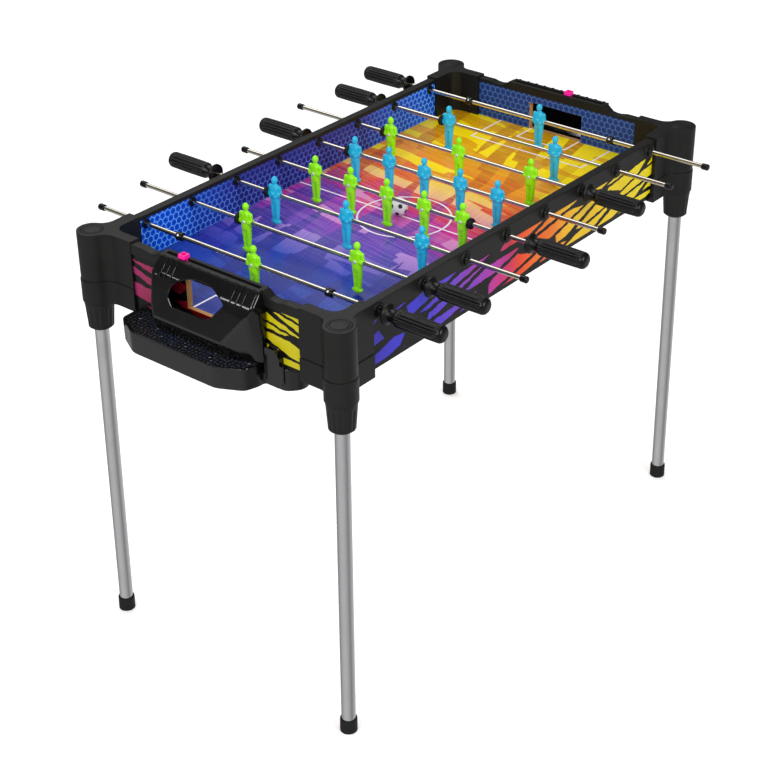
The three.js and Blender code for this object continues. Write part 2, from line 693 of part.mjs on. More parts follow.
// Ball tray under the near goal: a deck with a well, and a trough that runs in under the table.
function trayNear() {
  const left = -wingEndX + 1;
  const right = wingEndX - trayInset;
  const back = -boxHalfY + trayBack;
  const front = -outHalfY - deckOut;
  const outline = [[left, -outHalfY + trayReturn], [left, front + deckCut[1]],
    [left + deckCut[0], front], [raisedHalf - noseInset, front],
    [raisedHalf - hipInset, front + hipCut], [raisedHalf - sideInset, front + sideCut],
    [raisedHalf - sideInset, -outHalfY], [wingEndX - backInset, -outHalfY],
    [right, -boxHalfY + trayShoulder], [right, back], [backInset - wingEndX, back]];
  const body = prism(outline, trayBottom, trayTop);
  const floor = trayBottom + trayWall;
  const well = box(wellInset[0] - raisedHalf, raisedHalf - wellInset[1], -outHalfY - wellOut,
    -boxHalfY + wellIn, floor, trayTop + 1);
  const trough = box(troughInset[0] - wingEndX, wingEndX - troughInset[1], -boxHalfY + troughStart,
    back - trayWall, floor, trayTop + 1);
  const [x0, x1] = bracketPlace.map((inset) => wingEndX - inset);
  const foot = trayBottom + bracketLift;
  const [lowShoulder, highShoulder] = bracketRise.map((rise) => panelBottom + rise);
  const plate = [[x0, foot], [x1, foot], [x1, lowShoulder], [x1 - bracketSlope, highShoulder],
    [x0, highShoulder]];
  const bracket = prismAlongY(plate, -outHalfY - bracketThickness, -outHalfY - fitGap);
  const root = box(x0, x1, -outHalfY - bracketThickness, -outHalfY + bracketRoot, foot, trayTop);
  return joined([body, bracket, root]).subtract(well).subtract(trough);
}

function ball() {
  const geometry = new THREE.IcosahedronGeometry(ballDiameter / 2, 2);
  geometry.translate(ballRest[0], ballRest[1], fieldTop + ballDiameter / 2 + fitGap);
  return solid(geometry);
}

const teams = { green: 0x7fe01c, blue: 0x35b4dc };
const finishes = {
  field: { color: 0xb03a8c, roughness: 0.3, metalness: 0 },
  sidePanel: { color: 0x2431a8, roughness: 0.4, metalness: 0 },
  endPanel: { color: 0xc23a5c, roughness: 0.4, metalness: 0 },
  moulding: { color: 0x2b2b2b, roughness: 0.55, metalness: 0 },
  gloss: { color: 0x101010, roughness: 0.15, metalness: 0 },
  leg: { color: 0xb9babc, roughness: 0.3, metalness: 1 },
  rubber: { color: 0x1b1b1b, roughness: 0.8, metalness: 0 },
  pink: { color: 0xf0289a, roughness: 0.35, metalness: 0 },
  ball: { color: 0xf2f2f2, roughness: 0.35, metalness: 0 },
  green: { color: teams.green, roughness: 0.35, metalness: 0 },
  blue: { color: teams.blue, roughness: 0.35, metalness: 0 }
};

const table = new THREE.Group();

function place(name, body, finish) {
  const mesh = new THREE.Mesh(surface(body), new THREE.MeshStandardMaterial(finishes[finish]));
  mesh.name = name;
  table.add(mesh);
}

place('playfield', playfield(), 'field');
for (const [word, side] of [['left', -1], ['right', 1]]) {
  place(`side_panel_${word}`, sidePanel(side), 'sidePanel');
  place(`side_rail_${word}`, sideRail(side), 'moulding');
}
for (const [word, end] of [['near', -1], ['far', 1]]) {
  const turned = (body) => (end < 0 ? body : turnedRound(body));
  place(`end_panel_${word}`, endPanel(end), 'endPanel');
  place(`end_rail_${word}`, turned(endRailNear()), 'moulding');
  place(`goal_housing_${word}`, turned(housingNear()), 'gloss');
  place(`ball_tray_${word}`, turned(trayNear()), 'gloss');
  place(`score_slider_${word}`, scoreSlider(end, scoreRest[end < 0 ? 0 : 1]), 'pink');
  for (const [hand, side] of [['left', -1], ['right', 1]]) {
    const spot = `${word}_${hand}`;
    place(`corner_${spot}`, corner(side, end), 'moulding');
    place(`corner_cap_${spot}`, cornerCap(side, end), 'moulding');
    place(`leg_sleeve_${spot}`, legSleeve(side, end), 'moulding');
    place(`leg_tube_${spot}`, legTubePiece(side, end), 'leg');
    place(`foot_cap_${spot}`, footCap(side, end), 'rubber');
  }
}
playerRods.forEach((rod, index) => {
  place(`${rod.name}_rod`, playerRod(rod, index), rod.name.split('_')[0]);
  place(`${rod.name}_handle`, handle(rod, index), 'rubber');
  place(`${rod.name}_bushing`, bushing(rod, index), 'rubber');
});
place('ball', ball(), 'ball');

export default table;
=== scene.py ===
import json
import math

import bmesh
import bpy
from mathutils import Matrix, Vector

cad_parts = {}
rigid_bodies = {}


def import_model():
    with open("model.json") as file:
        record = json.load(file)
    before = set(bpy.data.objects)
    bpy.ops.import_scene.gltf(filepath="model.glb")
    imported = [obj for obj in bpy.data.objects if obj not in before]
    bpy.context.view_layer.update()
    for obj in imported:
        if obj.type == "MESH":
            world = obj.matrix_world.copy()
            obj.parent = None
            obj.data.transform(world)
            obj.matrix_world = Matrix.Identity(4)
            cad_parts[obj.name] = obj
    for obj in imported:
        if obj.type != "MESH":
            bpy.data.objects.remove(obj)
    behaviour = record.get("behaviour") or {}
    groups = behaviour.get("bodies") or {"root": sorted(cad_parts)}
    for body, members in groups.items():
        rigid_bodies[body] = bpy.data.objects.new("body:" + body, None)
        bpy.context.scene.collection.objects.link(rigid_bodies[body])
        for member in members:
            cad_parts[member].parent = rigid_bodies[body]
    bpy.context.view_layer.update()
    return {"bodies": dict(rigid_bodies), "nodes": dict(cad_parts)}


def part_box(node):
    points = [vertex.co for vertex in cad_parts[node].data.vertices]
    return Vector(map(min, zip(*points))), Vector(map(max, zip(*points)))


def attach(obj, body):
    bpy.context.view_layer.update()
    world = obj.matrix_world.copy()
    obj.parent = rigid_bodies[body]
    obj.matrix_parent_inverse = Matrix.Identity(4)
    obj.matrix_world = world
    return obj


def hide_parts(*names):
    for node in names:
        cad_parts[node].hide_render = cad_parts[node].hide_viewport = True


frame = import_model()

# Sizes below are in millimetres; a mesh is turned into metres when its piece is made.
mm = 0.001
gap = 0.3  # between pieces that meet
scene = bpy.context.scene


def boxOf(node):
    low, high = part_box(node)
    return low / mm, high / mm


def middleOf(node):
    low, high = boxOf(node)
    return (low + high) / 2


panelLow, panelHigh = boxOf("side_panel_right")
endLow, endHigh = boxOf("end_panel_far")
railLow, railHigh = boxOf("side_rail_right")
cornerLow, cornerHigh = boxOf("corner_far_right")
endRailLow, endRailHigh = boxOf("end_rail_far")
fieldTop = boxOf("playfield")[1].z
innerX, outerX = panelLow.x, panelHigh.x
innerY, outerY = endLow.y, endHigh.y
wingX, wingY = cornerLow.x, cornerLow.y
post = middleOf("corner_cap_far_right")
rodZ = middleOf("green_goalie_handle").z
rodNames = [body for body in frame["bodies"] if body.startswith(("green", "blue"))
            and not body.endswith("turn")]


# ---- shader groups and materials

def tint(red, green, blue):
    def straight(value):
        value /= 255
        return value / 12.92 if value <= 0.04045 else ((value + 0.055) / 1.055) ** 2.4
    return (straight(red), straight(green), straight(blue), 1)


def feed(tree, socket, value):
    if isinstance(value, bpy.types.NodeSocket):
        tree.links.new(value, socket)
    elif value is not None:
        socket.default_value = value


def addNode(tree, kind, *inputs, **settings):
    node = tree.nodes.new("ShaderNode" + kind)
    for key, value in settings.items():
        setattr(node, key, value)
    for socket, value in zip(node.inputs, inputs):
        feed(tree, socket, value)
    return node


def calc(tree, operation, *values, clamp=False):
    return addNode(tree, "Math", *values, operation=operation, use_clamp=clamp).outputs[0]


def vectorCalc(tree, operation, *values, output=0):
    return addNode(tree, "VectorMath", *values, operation=operation).outputs[output]


def band(tree, value, low, high):
    # 0 below low, 1 above high, smooth between
    return addNode(tree, "MapRange", value, low, high, 0.0, 1.0, interpolation_type="SMOOTHSTEP").outputs[0]


def blendColors(tree, factor, first, second):
    node = addNode(tree, "Mix", data_type="RGBA")
    feed(tree, node.inputs[0], factor)
    feed(tree, node.inputs[6], first)
    feed(tree, node.inputs[7], second)
    return node.outputs[2]


def colorRamp(tree, value, stops):
    node = addNode(tree, "ValToRGB", value)
    ramp = node.color_ramp
    while len(ramp.elements) < len(stops):
        ramp.elements.new(0.5)
    for element, (place, color) in zip(ramp.elements, stops):
        element.position = place
        element.color = color
    return node.outputs[0]


def makeGroup(name, inputs, outputs):
    tree = bpy.data.node_groups.new(name, "ShaderNodeTree")
    for label, kind, value in inputs:
        socket = tree.interface.new_socket(name=label, in_out="INPUT", socket_type="NodeSocket" + kind)
        if value is not None:
            socket.default_value = value
    for label, kind in outputs:
        tree.interface.new_socket(name=label, in_out="OUTPUT", socket_type="NodeSocket" + kind)
    start = tree.nodes.new("NodeGroupInput").outputs
    end = tree.nodes.new("NodeGroupOutput").inputs
    return tree, start, end


def placeGroup(tree, group, **values):
    node = tree.nodes.new("ShaderNodeGroup")
    node.node_tree = group
    for label, value in values.items():
        feed(tree, node.inputs[label], value)
    return node.outputs


def makeGrainGroup():
    # fine moulded surface: Height for a bump, Tone for slight changes of shade
    tree, start, end = makeGroup("mouldedGrain", [("Vector", "Vector", None), ("Scale", "Float", 900.0)],
                                 [("Height", "Float"), ("Tone", "Float")])
    fine = addNode(tree, "TexNoise")
    feed(tree, fine.inputs["Vector"], start["Vector"])
    feed(tree, fine.inputs["Scale"], start["Scale"])
    fine.inputs["Detail"].default_value = 3
    wide = addNode(tree, "TexNoise")
    feed(tree, wide.inputs["Vector"], start["Vector"])
    wide.inputs["Scale"].default_value = 22
    wide.inputs["Detail"].default_value = 4
    feed(tree, end["Height"], fine.outputs[0])
    feed(tree, end["Tone"], band(tree, wide.outputs[0], 0.35, 0.68))
    return tree


def makeWearAndHighlightGroup():
    # convex edges made lighter, broken up by noise: rubbed wear and a painted edge highlight
    tree, start, end = makeGroup("edgeWearAndHighlight", [("Vector", "Vector", None), ("Amount", "Float", 0.5)],
                                 [("Mask", "Float")])
    edges = band(tree, addNode(tree, "NewGeometry").outputs["Pointiness"], 0.52, 0.6)
    noise = addNode(tree, "TexNoise")
    feed(tree, noise.inputs["Vector"], start["Vector"])
    noise.inputs["Scale"].default_value = 60
    rough = calc(tree, "MULTIPLY", edges, band(tree, noise.outputs[0], 0.35, 0.65))
    feed(tree, end["Mask"], calc(tree, "MULTIPLY", rough, start["Amount"], clamp=True))
    return tree


def makeHexGroup():
    # a net of hexagons of the given size; Line is the net and Core how near a cell's middle a point is
    tree, start, end = makeGroup("hexNet", [("Vector", "Vector", None), ("Size", "Float", 0.016)],
                                 [("Line", "Float"), ("Core", "Float")])
    step = (1.0, math.sqrt(3), 1.0)
    half = tuple(value / 2 for value in step)
    inverse = calc(tree, "DIVIDE", 1.0, start["Size"])
    scaled = addNode(tree, "VectorMath", start["Vector"], operation="SCALE")
    feed(tree, scaled.inputs["Scale"], inverse)

    def cell(point):
        share = vectorCalc(tree, "FRACTION", vectorCalc(tree, "DIVIDE", point, step))
        flat = vectorCalc(tree, "MULTIPLY", vectorCalc(tree, "SUBTRACT", share, (0.5, 0.5, 0.5)), step)
        return vectorCalc(tree, "MULTIPLY", flat, (1.0, 1.0, 0.0))

    first = cell(scaled.outputs[0])
    second = cell(vectorCalc(tree, "ADD", scaled.outputs[0], half))
    lengths = [vectorCalc(tree, "LENGTH", point, output=1) for point in (first, second)]
    pick = addNode(tree, "Mix", data_type="VECTOR")
    feed(tree, pick.inputs[0], calc(tree, "GREATER_THAN", *lengths))
    feed(tree, pick.inputs[4], first)
    feed(tree, pick.inputs[5], second)
    near = vectorCalc(tree, "ABSOLUTE", pick.outputs[1])
    slanted = vectorCalc(tree, "DOT_PRODUCT", near, (0.5, math.sqrt(3) / 2, 0.0), output=1)
    upright = addNode(tree, "SeparateXYZ", near).outputs[0]
    reach = calc(tree, "MAXIMUM", slanted, upright)
    feed(tree, end["Line"], band(tree, reach, 0.44, 0.475))
    feed(tree, end["Core"], band(tree, reach, 0.42, 0.12))
    return tree


def makeSlashGroup():
    # slanted shards with dark gaps; Turn slants them and Gap widens what is between them
    tree, start, end = makeGroup(
        "slashes", [("Vector", "Vector", None), ("Turn", "Float", 0.7), ("Gap", "Float", 0.1)],
        [("Mask", "Float"), ("Shade", "Float")])
    ragged = addNode(tree, "TexNoise", noise_dimensions="2D")
    feed(tree, ragged.inputs["Vector"], start["Vector"])
    ragged.inputs["Scale"].default_value = 70
    rough = vectorCalc(tree, "MULTIPLY_ADD", ragged.outputs["Color"], (0.0045, 0.0045, 0.0), start["Vector"])
    turned = addNode(tree, "VectorRotate", rotation_type="Z_AXIS")
    feed(tree, turned.inputs["Vector"], rough)
    feed(tree, turned.inputs["Angle"], start["Turn"])
    stretched = vectorCalc(tree, "MULTIPLY", turned.outputs[0], (5.6, 42.0, 1.0))
    cells = addNode(tree, "TexVoronoi", voronoi_dimensions="2D", feature="DISTANCE_TO_EDGE")
    shade = addNode(tree, "TexVoronoi", voronoi_dimensions="2D", feature="F1")
    for texture in (cells, shade):
        feed(tree, texture.inputs["Vector"], stretched)
        texture.inputs["Scale"].default_value = 1
        texture.inputs["Randomness"].default_value = 0.95
    over = calc(tree, "SUBTRACT", cells.outputs["Distance"], start["Gap"])
    feed(tree, end["Mask"], band(tree, over, 0.0, 0.012))
    feed(tree, end["Shade"], addNode(tree, "SeparateXYZ", shade.outputs["Color"]).outputs[0])
    return tree


def makeBrushGroup():
    # broad flat brush marks that cross each other; Mark picks a shade per stroke, Bristle is fine streaks
    tree, start, end = makeGroup("brushwork", [("Vector", "Vector", None), ("Turn", "Float", 0.6)],
                                 [("Mark", "Float"), ("Bristle", "Float")])
    wobble = addNode(tree, "TexNoise")
    feed(tree, wobble.inputs["Vector"], start["Vector"])
    wobble.inputs["Scale"].default_value = 9
    bent = vectorCalc(tree, "MULTIPLY_ADD", wobble.outputs["Color"], (0.012, 0.012, 0.0), start["Vector"])
    turned = addNode(tree, "VectorRotate", rotation_type="Z_AXIS")
    feed(tree, turned.inputs["Vector"], bent)
    feed(tree, turned.inputs["Angle"], start["Turn"])
    marks = addNode(tree, "TexVoronoi", voronoi_dimensions="2D", distance="CHEBYCHEV", feature="F1")
    feed(tree, marks.inputs["Vector"], vectorCalc(tree, "MULTIPLY", turned.outputs[0], (5.4, 32.0, 1.0)))
    marks.inputs["Scale"].default_value = 1
    streaks = addNode(tree, "TexNoise", noise_dimensions="2D")
    feed(tree, streaks.inputs["Vector"], vectorCalc(tree, "MULTIPLY", turned.outputs[0], (9.0, 190.0, 1.0)))
    streaks.inputs["Scale"].default_value = 1
    streaks.inputs["Detail"].default_value = 4
    feed(tree, end["Mark"], addNode(tree, "SeparateXYZ", marks.outputs["Color"]).outputs[0])
    feed(tree, end["Bristle"], streaks.outputs[0])
    return tree


groups = {"grain": makeGrainGroup(), "wearAndHighlight": makeWearAndHighlightGroup(), "hex": makeHexGroup(),
          "slash": makeSlashGroup(), "brush": makeBrushGroup()}


def startMaterial(name, **settings):
    material = bpy.data.materials.new(name)
    material.use_nodes = True
    tree = material.node_tree
    shader = tree.nodes["Principled BSDF"]
    for label, value in settings.items():
        shader.inputs[label.replace("_", " ")].default_value = value
    return material, tree, shader.inputs


def bump(tree, sockets, height, strength, distance):
    node = addNode(tree, "Bump")
    node.inputs["Strength"].default_value = strength
    node.inputs["Distance"].default_value = distance * mm
    feed(tree, node.inputs["Height"], height)
    feed(tree, sockets["Normal"], node.outputs[0])


def objectPoint(tree):
    return addNode(tree, "TexCoord").outputs["Object"]


# color and shade are the two tones that the plastic drifts between; rough is [smooth, dull]
plastics = {
    "moulding": dict(color=(20, 20, 19), shade=(23, 23, 22), rough=(0.43, 0.48), grain=1100, depth=0.04,
                     wearAndHighlight=0.0, sheen=0.26),
    "glossMoulding": dict(color=(6, 6, 7), shade=(9, 9, 10), rough=(0.1, 0.16), grain=300, depth=0.006,
                          wearAndHighlight=0.0, sheen=0.5),
    "grip": dict(color=(6, 6, 6), shade=(9, 9, 9), rough=(0.3, 0.4), grain=900, depth=0.03, wearAndHighlight=0.2,
                 sheen=0.34),
    "bushing": dict(color=(8, 8, 8), shade=(12, 12, 12), rough=(0.28, 0.38), grain=900, depth=0.02,
                    wearAndHighlight=0.2, sheen=0.34),
    "footRubber": dict(color=(12, 12, 12), shade=(16, 16, 16), rough=(0.6, 0.75), grain=700, depth=0.05,
                       wearAndHighlight=0.2, sheen=0.4),
    "greenFigure": dict(color=(136, 228, 2), shade=(152, 236, 12), rough=(0.22, 0.32), grain=500,
                        depth=0.015, wearAndHighlight=0.3, sheen=0.5),
    "blueFigure": dict(color=(30, 170, 208), shade=(46, 184, 220), rough=(0.22, 0.32), grain=500,
                       depth=0.015, wearAndHighlight=0.3, sheen=0.5),
    "scorePink": dict(color=(236, 16, 136), shade=(242, 30, 146), rough=(0.25, 0.33), grain=600, depth=0.02,
                      wearAndHighlight=0.2, sheen=0.4),
    "ballWhite": dict(color=(226, 226, 224), shade=(236, 236, 234), rough=(0.3, 0.4), grain=800, depth=0.01,
                      wearAndHighlight=0.0, sheen=0.5),
    "ballBlack": dict(color=(14, 10, 10), shade=(24, 18, 18), rough=(0.3, 0.4), grain=800, depth=0.01,
                      wearAndHighlight=0.0, sheen=0.5),
}
# lighter tints for the figures' convex edges: rubbed wear and painted edge highlight
wornAndLitEdgeTints = {"greenFigure": (190, 250, 110), "blueFigure": (150, 225, 250)}


def plasticMaterial(name):
    look = plastics[name]
    material, tree, sockets = startMaterial(name)
    point = objectPoint(tree)
    grain = placeGroup(tree, groups["grain"], Vector=point, Scale=look["grain"])
    wearAndHighlight = placeGroup(tree, groups["wearAndHighlight"], Vector=point, Amount=look["wearAndHighlight"])
    color = blendColors(tree, grain["Tone"], tint(*look["color"]), tint(*look["shade"]))
    # convex edges painted lighter: rubbed wear and painted edge highlight
    rubbedAndLitEdge = tint(*wornAndLitEdgeTints.get(name, [min(255, value * 1.9 + 12) for value in look["shade"]]))
    feed(tree, sockets["Base Color"], blendColors(tree, wearAndHighlight["Mask"], color, rubbedAndLitEdge))
    spread = addNode(tree, "MapRange", grain["Tone"], 0.0, 1.0, *look["rough"])
    feed(tree, sockets["Roughness"], spread.outputs[0])
    bump(tree, sockets, grain["Height"], 0.5, look["depth"])
    sockets["Specular IOR Level"].default_value = look["sheen"]
    if name.endswith("Figure"):
        sockets["Subsurface Weight"].default_value = 0.12
        sockets["Subsurface Scale"].default_value = 3 * mm
    return material


# color, roughness range and the run of the fine lines along each axis
metals = {
    "legSteel": dict(color=(206, 206, 208), rough=(0.2, 0.3), lines=(900, 900, 6), depth=0.006),
    "rodChrome": dict(color=(232, 226, 212), rough=(0.14, 0.2), lines=(30, 60, 60), depth=0),
    "screwSteel": dict(color=(232, 232, 232), rough=(0.3, 0.4), lines=(500, 500, 500), depth=0.0, metal=0.55),
}


def metalMaterial(name):
    look = metals[name]
    material, tree, sockets = startMaterial(name, Metallic=look.get("metal", 1.0))
    point = objectPoint(tree)
    lines = addNode(tree, "TexNoise")
    feed(tree, lines.inputs["Vector"], vectorCalc(tree, "MULTIPLY", point,
                                                  tuple(float(v) for v in look["lines"])))
    lines.inputs["Scale"].default_value = 1
    lines.inputs["Detail"].default_value = 3
    smudge = placeGroup(tree, groups["grain"], Vector=point, Scale=90.0)
    color = tint(*look["color"])
    dull = tuple(value * 0.86 for value in color[:3]) + (1,)
    feed(tree, sockets["Base Color"], blendColors(tree, lines.outputs[0], color, dull))
    spread = addNode(tree, "MapRange", smudge["Tone"], 0.0, 1.0, *look["rough"])
    feed(tree, sockets["Roughness"], spread.outputs[0])
    if look["depth"]:
        bump(tree, sockets, lines.outputs[0], 0.3, look["depth"])
    return material


deckLook = {"cell": 125.0, "depth": 2.2}


def deckMaterial():
    # the tray's deck: glossy black with small raised scales, whose tops are painted lighter as a painted
    # highlight
    material, tree, sockets = startMaterial("trayDeck")
    point = objectPoint(tree)
    scales = addNode(tree, "TexVoronoi", voronoi_dimensions="2D", feature="DISTANCE_TO_EDGE")
    feed(tree, scales.inputs["Vector"], point)
    scales.inputs["Scale"].default_value = deckLook["cell"]
    scales.inputs["Randomness"].default_value = 0.5
    raised = band(tree, scales.outputs["Distance"], 0.0, 0.35)
    grain = placeGroup(tree, groups["grain"], Vector=point, Scale=300.0)
    # raised scale tops painted lighter than the hollows: painted highlight on the scales
    feed(tree, sockets["Base Color"], blendColors(tree, raised, tint(5, 5, 6), tint(40, 42, 44)))
    rough = addNode(tree, "MapRange", grain["Tone"], 0.0, 1.0, 0.14, 0.24).outputs[0]
    feed(tree, sockets["Roughness"], rough)
    bump(tree, sockets, raised, 1.0, deckLook["depth"])
    return material


def boardColor(tree, point):
    # bare fibreboard
    fibre = addNode(tree, "TexNoise")
    feed(tree, fibre.inputs["Vector"], point)
    fibre.inputs["Scale"].default_value = 500
    fibre.inputs["Detail"].default_value = 5
    return blendColors(tree, fibre.outputs[0], tint(150, 104, 58), tint(214, 164, 104))


# the field's paint along the table, from the near goal to the far one
fieldPaint = [(0.0, (12, 46, 142)), (0.2, (22, 46, 152)), (0.34, (78, 54, 172)), (0.42, (118, 50, 170)),
              (0.48, (182, 18, 150)), (0.53, (206, 30, 122)), (0.58, (218, 54, 36)), (0.66, (226, 90, 32)),
              (0.74, (228, 136, 24)), (0.84, (222, 160, 10)), (1.0, (214, 158, 8))]
fieldLines = {"half": 1.8, "circle": 86.0, "boxes": [(131.0, 102.0), (57.0, 49.0)]}


def fieldMaterial():
    material, tree, sockets = startMaterial("fieldPrint", Coat_Weight=0.12, Coat_Roughness=0.12,
                                            Specular_IOR_Level=0.22)
    point = objectPoint(tree)
    x, y, z = addNode(tree, "SeparateXYZ", point).outputs
    along = addNode(tree, "MapRange", y, -innerY * mm, innerY * mm, 0.0, 1.0).outputs[0]
    first = placeGroup(tree, groups["brush"], Vector=point, Turn=-1.73)
    second = placeGroup(tree, groups["brush"], Vector=vectorCalc(tree, "ADD", point, (0.31, 0.17, 0.0)),
                        Turn=0.14)
    mark = calc(tree, "ADD", calc(tree, "MULTIPLY", first["Mark"], 0.11),
                calc(tree, "MULTIPLY", second["Mark"], 0.09))
    moved = calc(tree, "ADD", calc(tree, "SUBTRACT", along, 0.10), mark)
    base = colorRamp(tree, moved, [(place, tint(*color)) for place, color in fieldPaint])
    violet = band(tree, along, 0.2, 0.4)
    milk = blendColors(tree, violet, tint(70, 120, 216), tint(230, 184, 246))
    pale = blendColors(tree, calc(tree, "ADD", calc(tree, "MULTIPLY", violet, 0.34), 0.14), base, milk)
    warm = blendColors(tree, 0.8, base, tint(255, 232, 0))
    glow = blendColors(tree, band(tree, along, 0.5, 0.72), pale, warm)
    deep = blendColors(tree, 0.34, base, tint(40, 24, 110))
    burnt = blendColors(tree, 0.45, base, tint(150, 70, 14))
    shadow = blendColors(tree, band(tree, along, 0.5, 0.72), deep, burnt)
    lit = blendColors(tree, band(tree, second["Mark"], 0.56, 0.59), base, glow)
    painted = blendColors(tree, band(tree, first["Mark"], 0.36, 0.33), lit, shadow)
    streak = blendColors(tree, band(tree, second["Bristle"], 0.3, 0.75), painted, glow)
    brushed = blendColors(tree, 0.32, painted, streak)

    def stripe(value, place, half=fieldLines["half"]):
        off = calc(tree, "ABSOLUTE", calc(tree, "SUBTRACT", value, place * mm))
        return band(tree, off, (half + 0.5) * mm, (half - 0.5) * mm)

    sideways = calc(tree, "ABSOLUTE", x)
    endwise = calc(tree, "SUBTRACT", innerY * mm, calc(tree, "ABSOLUTE", y))
    radius = calc(tree, "SQRT", calc(tree, "ADD", calc(tree, "MULTIPLY", x, x), calc(tree, "MULTIPLY", y, y)))
    lines = calc(tree, "MAXIMUM", stripe(y, 0.0), stripe(radius, fieldLines["circle"]))
    for wide, deepIn in fieldLines["boxes"]:
        posts = calc(tree, "MULTIPLY", stripe(sideways, wide),
                     calc(tree, "LESS_THAN", endwise, (deepIn + 1) * mm))
        bar = calc(tree, "MULTIPLY", stripe(endwise, deepIn),
                   calc(tree, "LESS_THAN", sideways, (wide + 1) * mm))
        lines = calc(tree, "MAXIMUM", lines, calc(tree, "MAXIMUM", posts, bar))
    lined = blendColors(tree, lines, brushed, tint(244, 236, 240))
    up = addNode(tree, "SeparateXYZ", addNode(tree, "TexCoord").outputs["Normal"]).outputs[2]
    onTop = calc(tree, "GREATER_THAN", up, 0.5)
    feed(tree, sockets["Base Color"], blendColors(tree, onTop, boardColor(tree, point), lined))
    dull = addNode(tree, "MapRange", first["Bristle"], 0.0, 1.0, 0.2, 0.32).outputs[0]
    smoother = calc(tree, "MULTIPLY", onTop, calc(tree, "SUBTRACT", 0.75, dull))
    feed(tree, sockets["Roughness"], calc(tree, "SUBTRACT", 0.75, smoother))
    bump(tree, sockets, first["Bristle"], 0.12, 0.04)
    return material


sidePaint = [(0.0, (50, 36, 156)), (0.16, (46, 44, 180)), (0.28, (94, 50, 168)), (0.38, (152, 38, 142)),
             (0.45, (180, 30, 94)), (0.5, (206, 54, 22)), (0.6, (208, 108, 12)), (0.68, (208, 164, 4)),
             (1.0, (200, 186, 2))]
endPaint = [(0.0, (142, 34, 84)), (0.2, (136, 24, 60)), (0.36, (116, 8, 8)), (0.6, (130, 14, 6)),
            (0.72, (178, 130, 4)), (0.82, (184, 172, 2)), (1.0, (176, 166, 2))]
printLook = {"hex": 12.8, "slashTurn": -0.2, "slashGap": 0.12, "endTurn": 0.16, "endGap": 0.1, "hem": 8.0}


def hexWall(tree, flat, ends, height):
    # blue hexagon print: bright towards the ends, dusky in the middle and towards the top
    net = placeGroup(tree, groups["hex"], Vector=flat, Size=printLook["hex"] * mm)
    dusk = calc(tree, "MULTIPLY", calc(tree, "SUBTRACT", 1.0, ends), 0.9)
    bright = blendColors(tree, net["Core"], tint(2, 92, 226), tint(2, 66, 196))
    dark = blendColors(tree, net["Core"], tint(44, 38, 116), tint(30, 26, 88))
    ground = blendColors(tree, dusk, bright, dark)
    upper = band(tree, height, 0.45, 0.95)
    fade = calc(tree, "MULTIPLY", calc(tree, "MULTIPLY", dusk, upper), 0.9)
    line = calc(tree, "MULTIPLY", net["Line"],
                calc(tree, "SUBTRACT", 0.85, calc(tree, "MULTIPLY", fade, 0.75)))
    netColor = blendColors(tree, dusk, tint(150, 214, 246), tint(96, 132, 236))
    return blendColors(tree, line, ground, netColor)


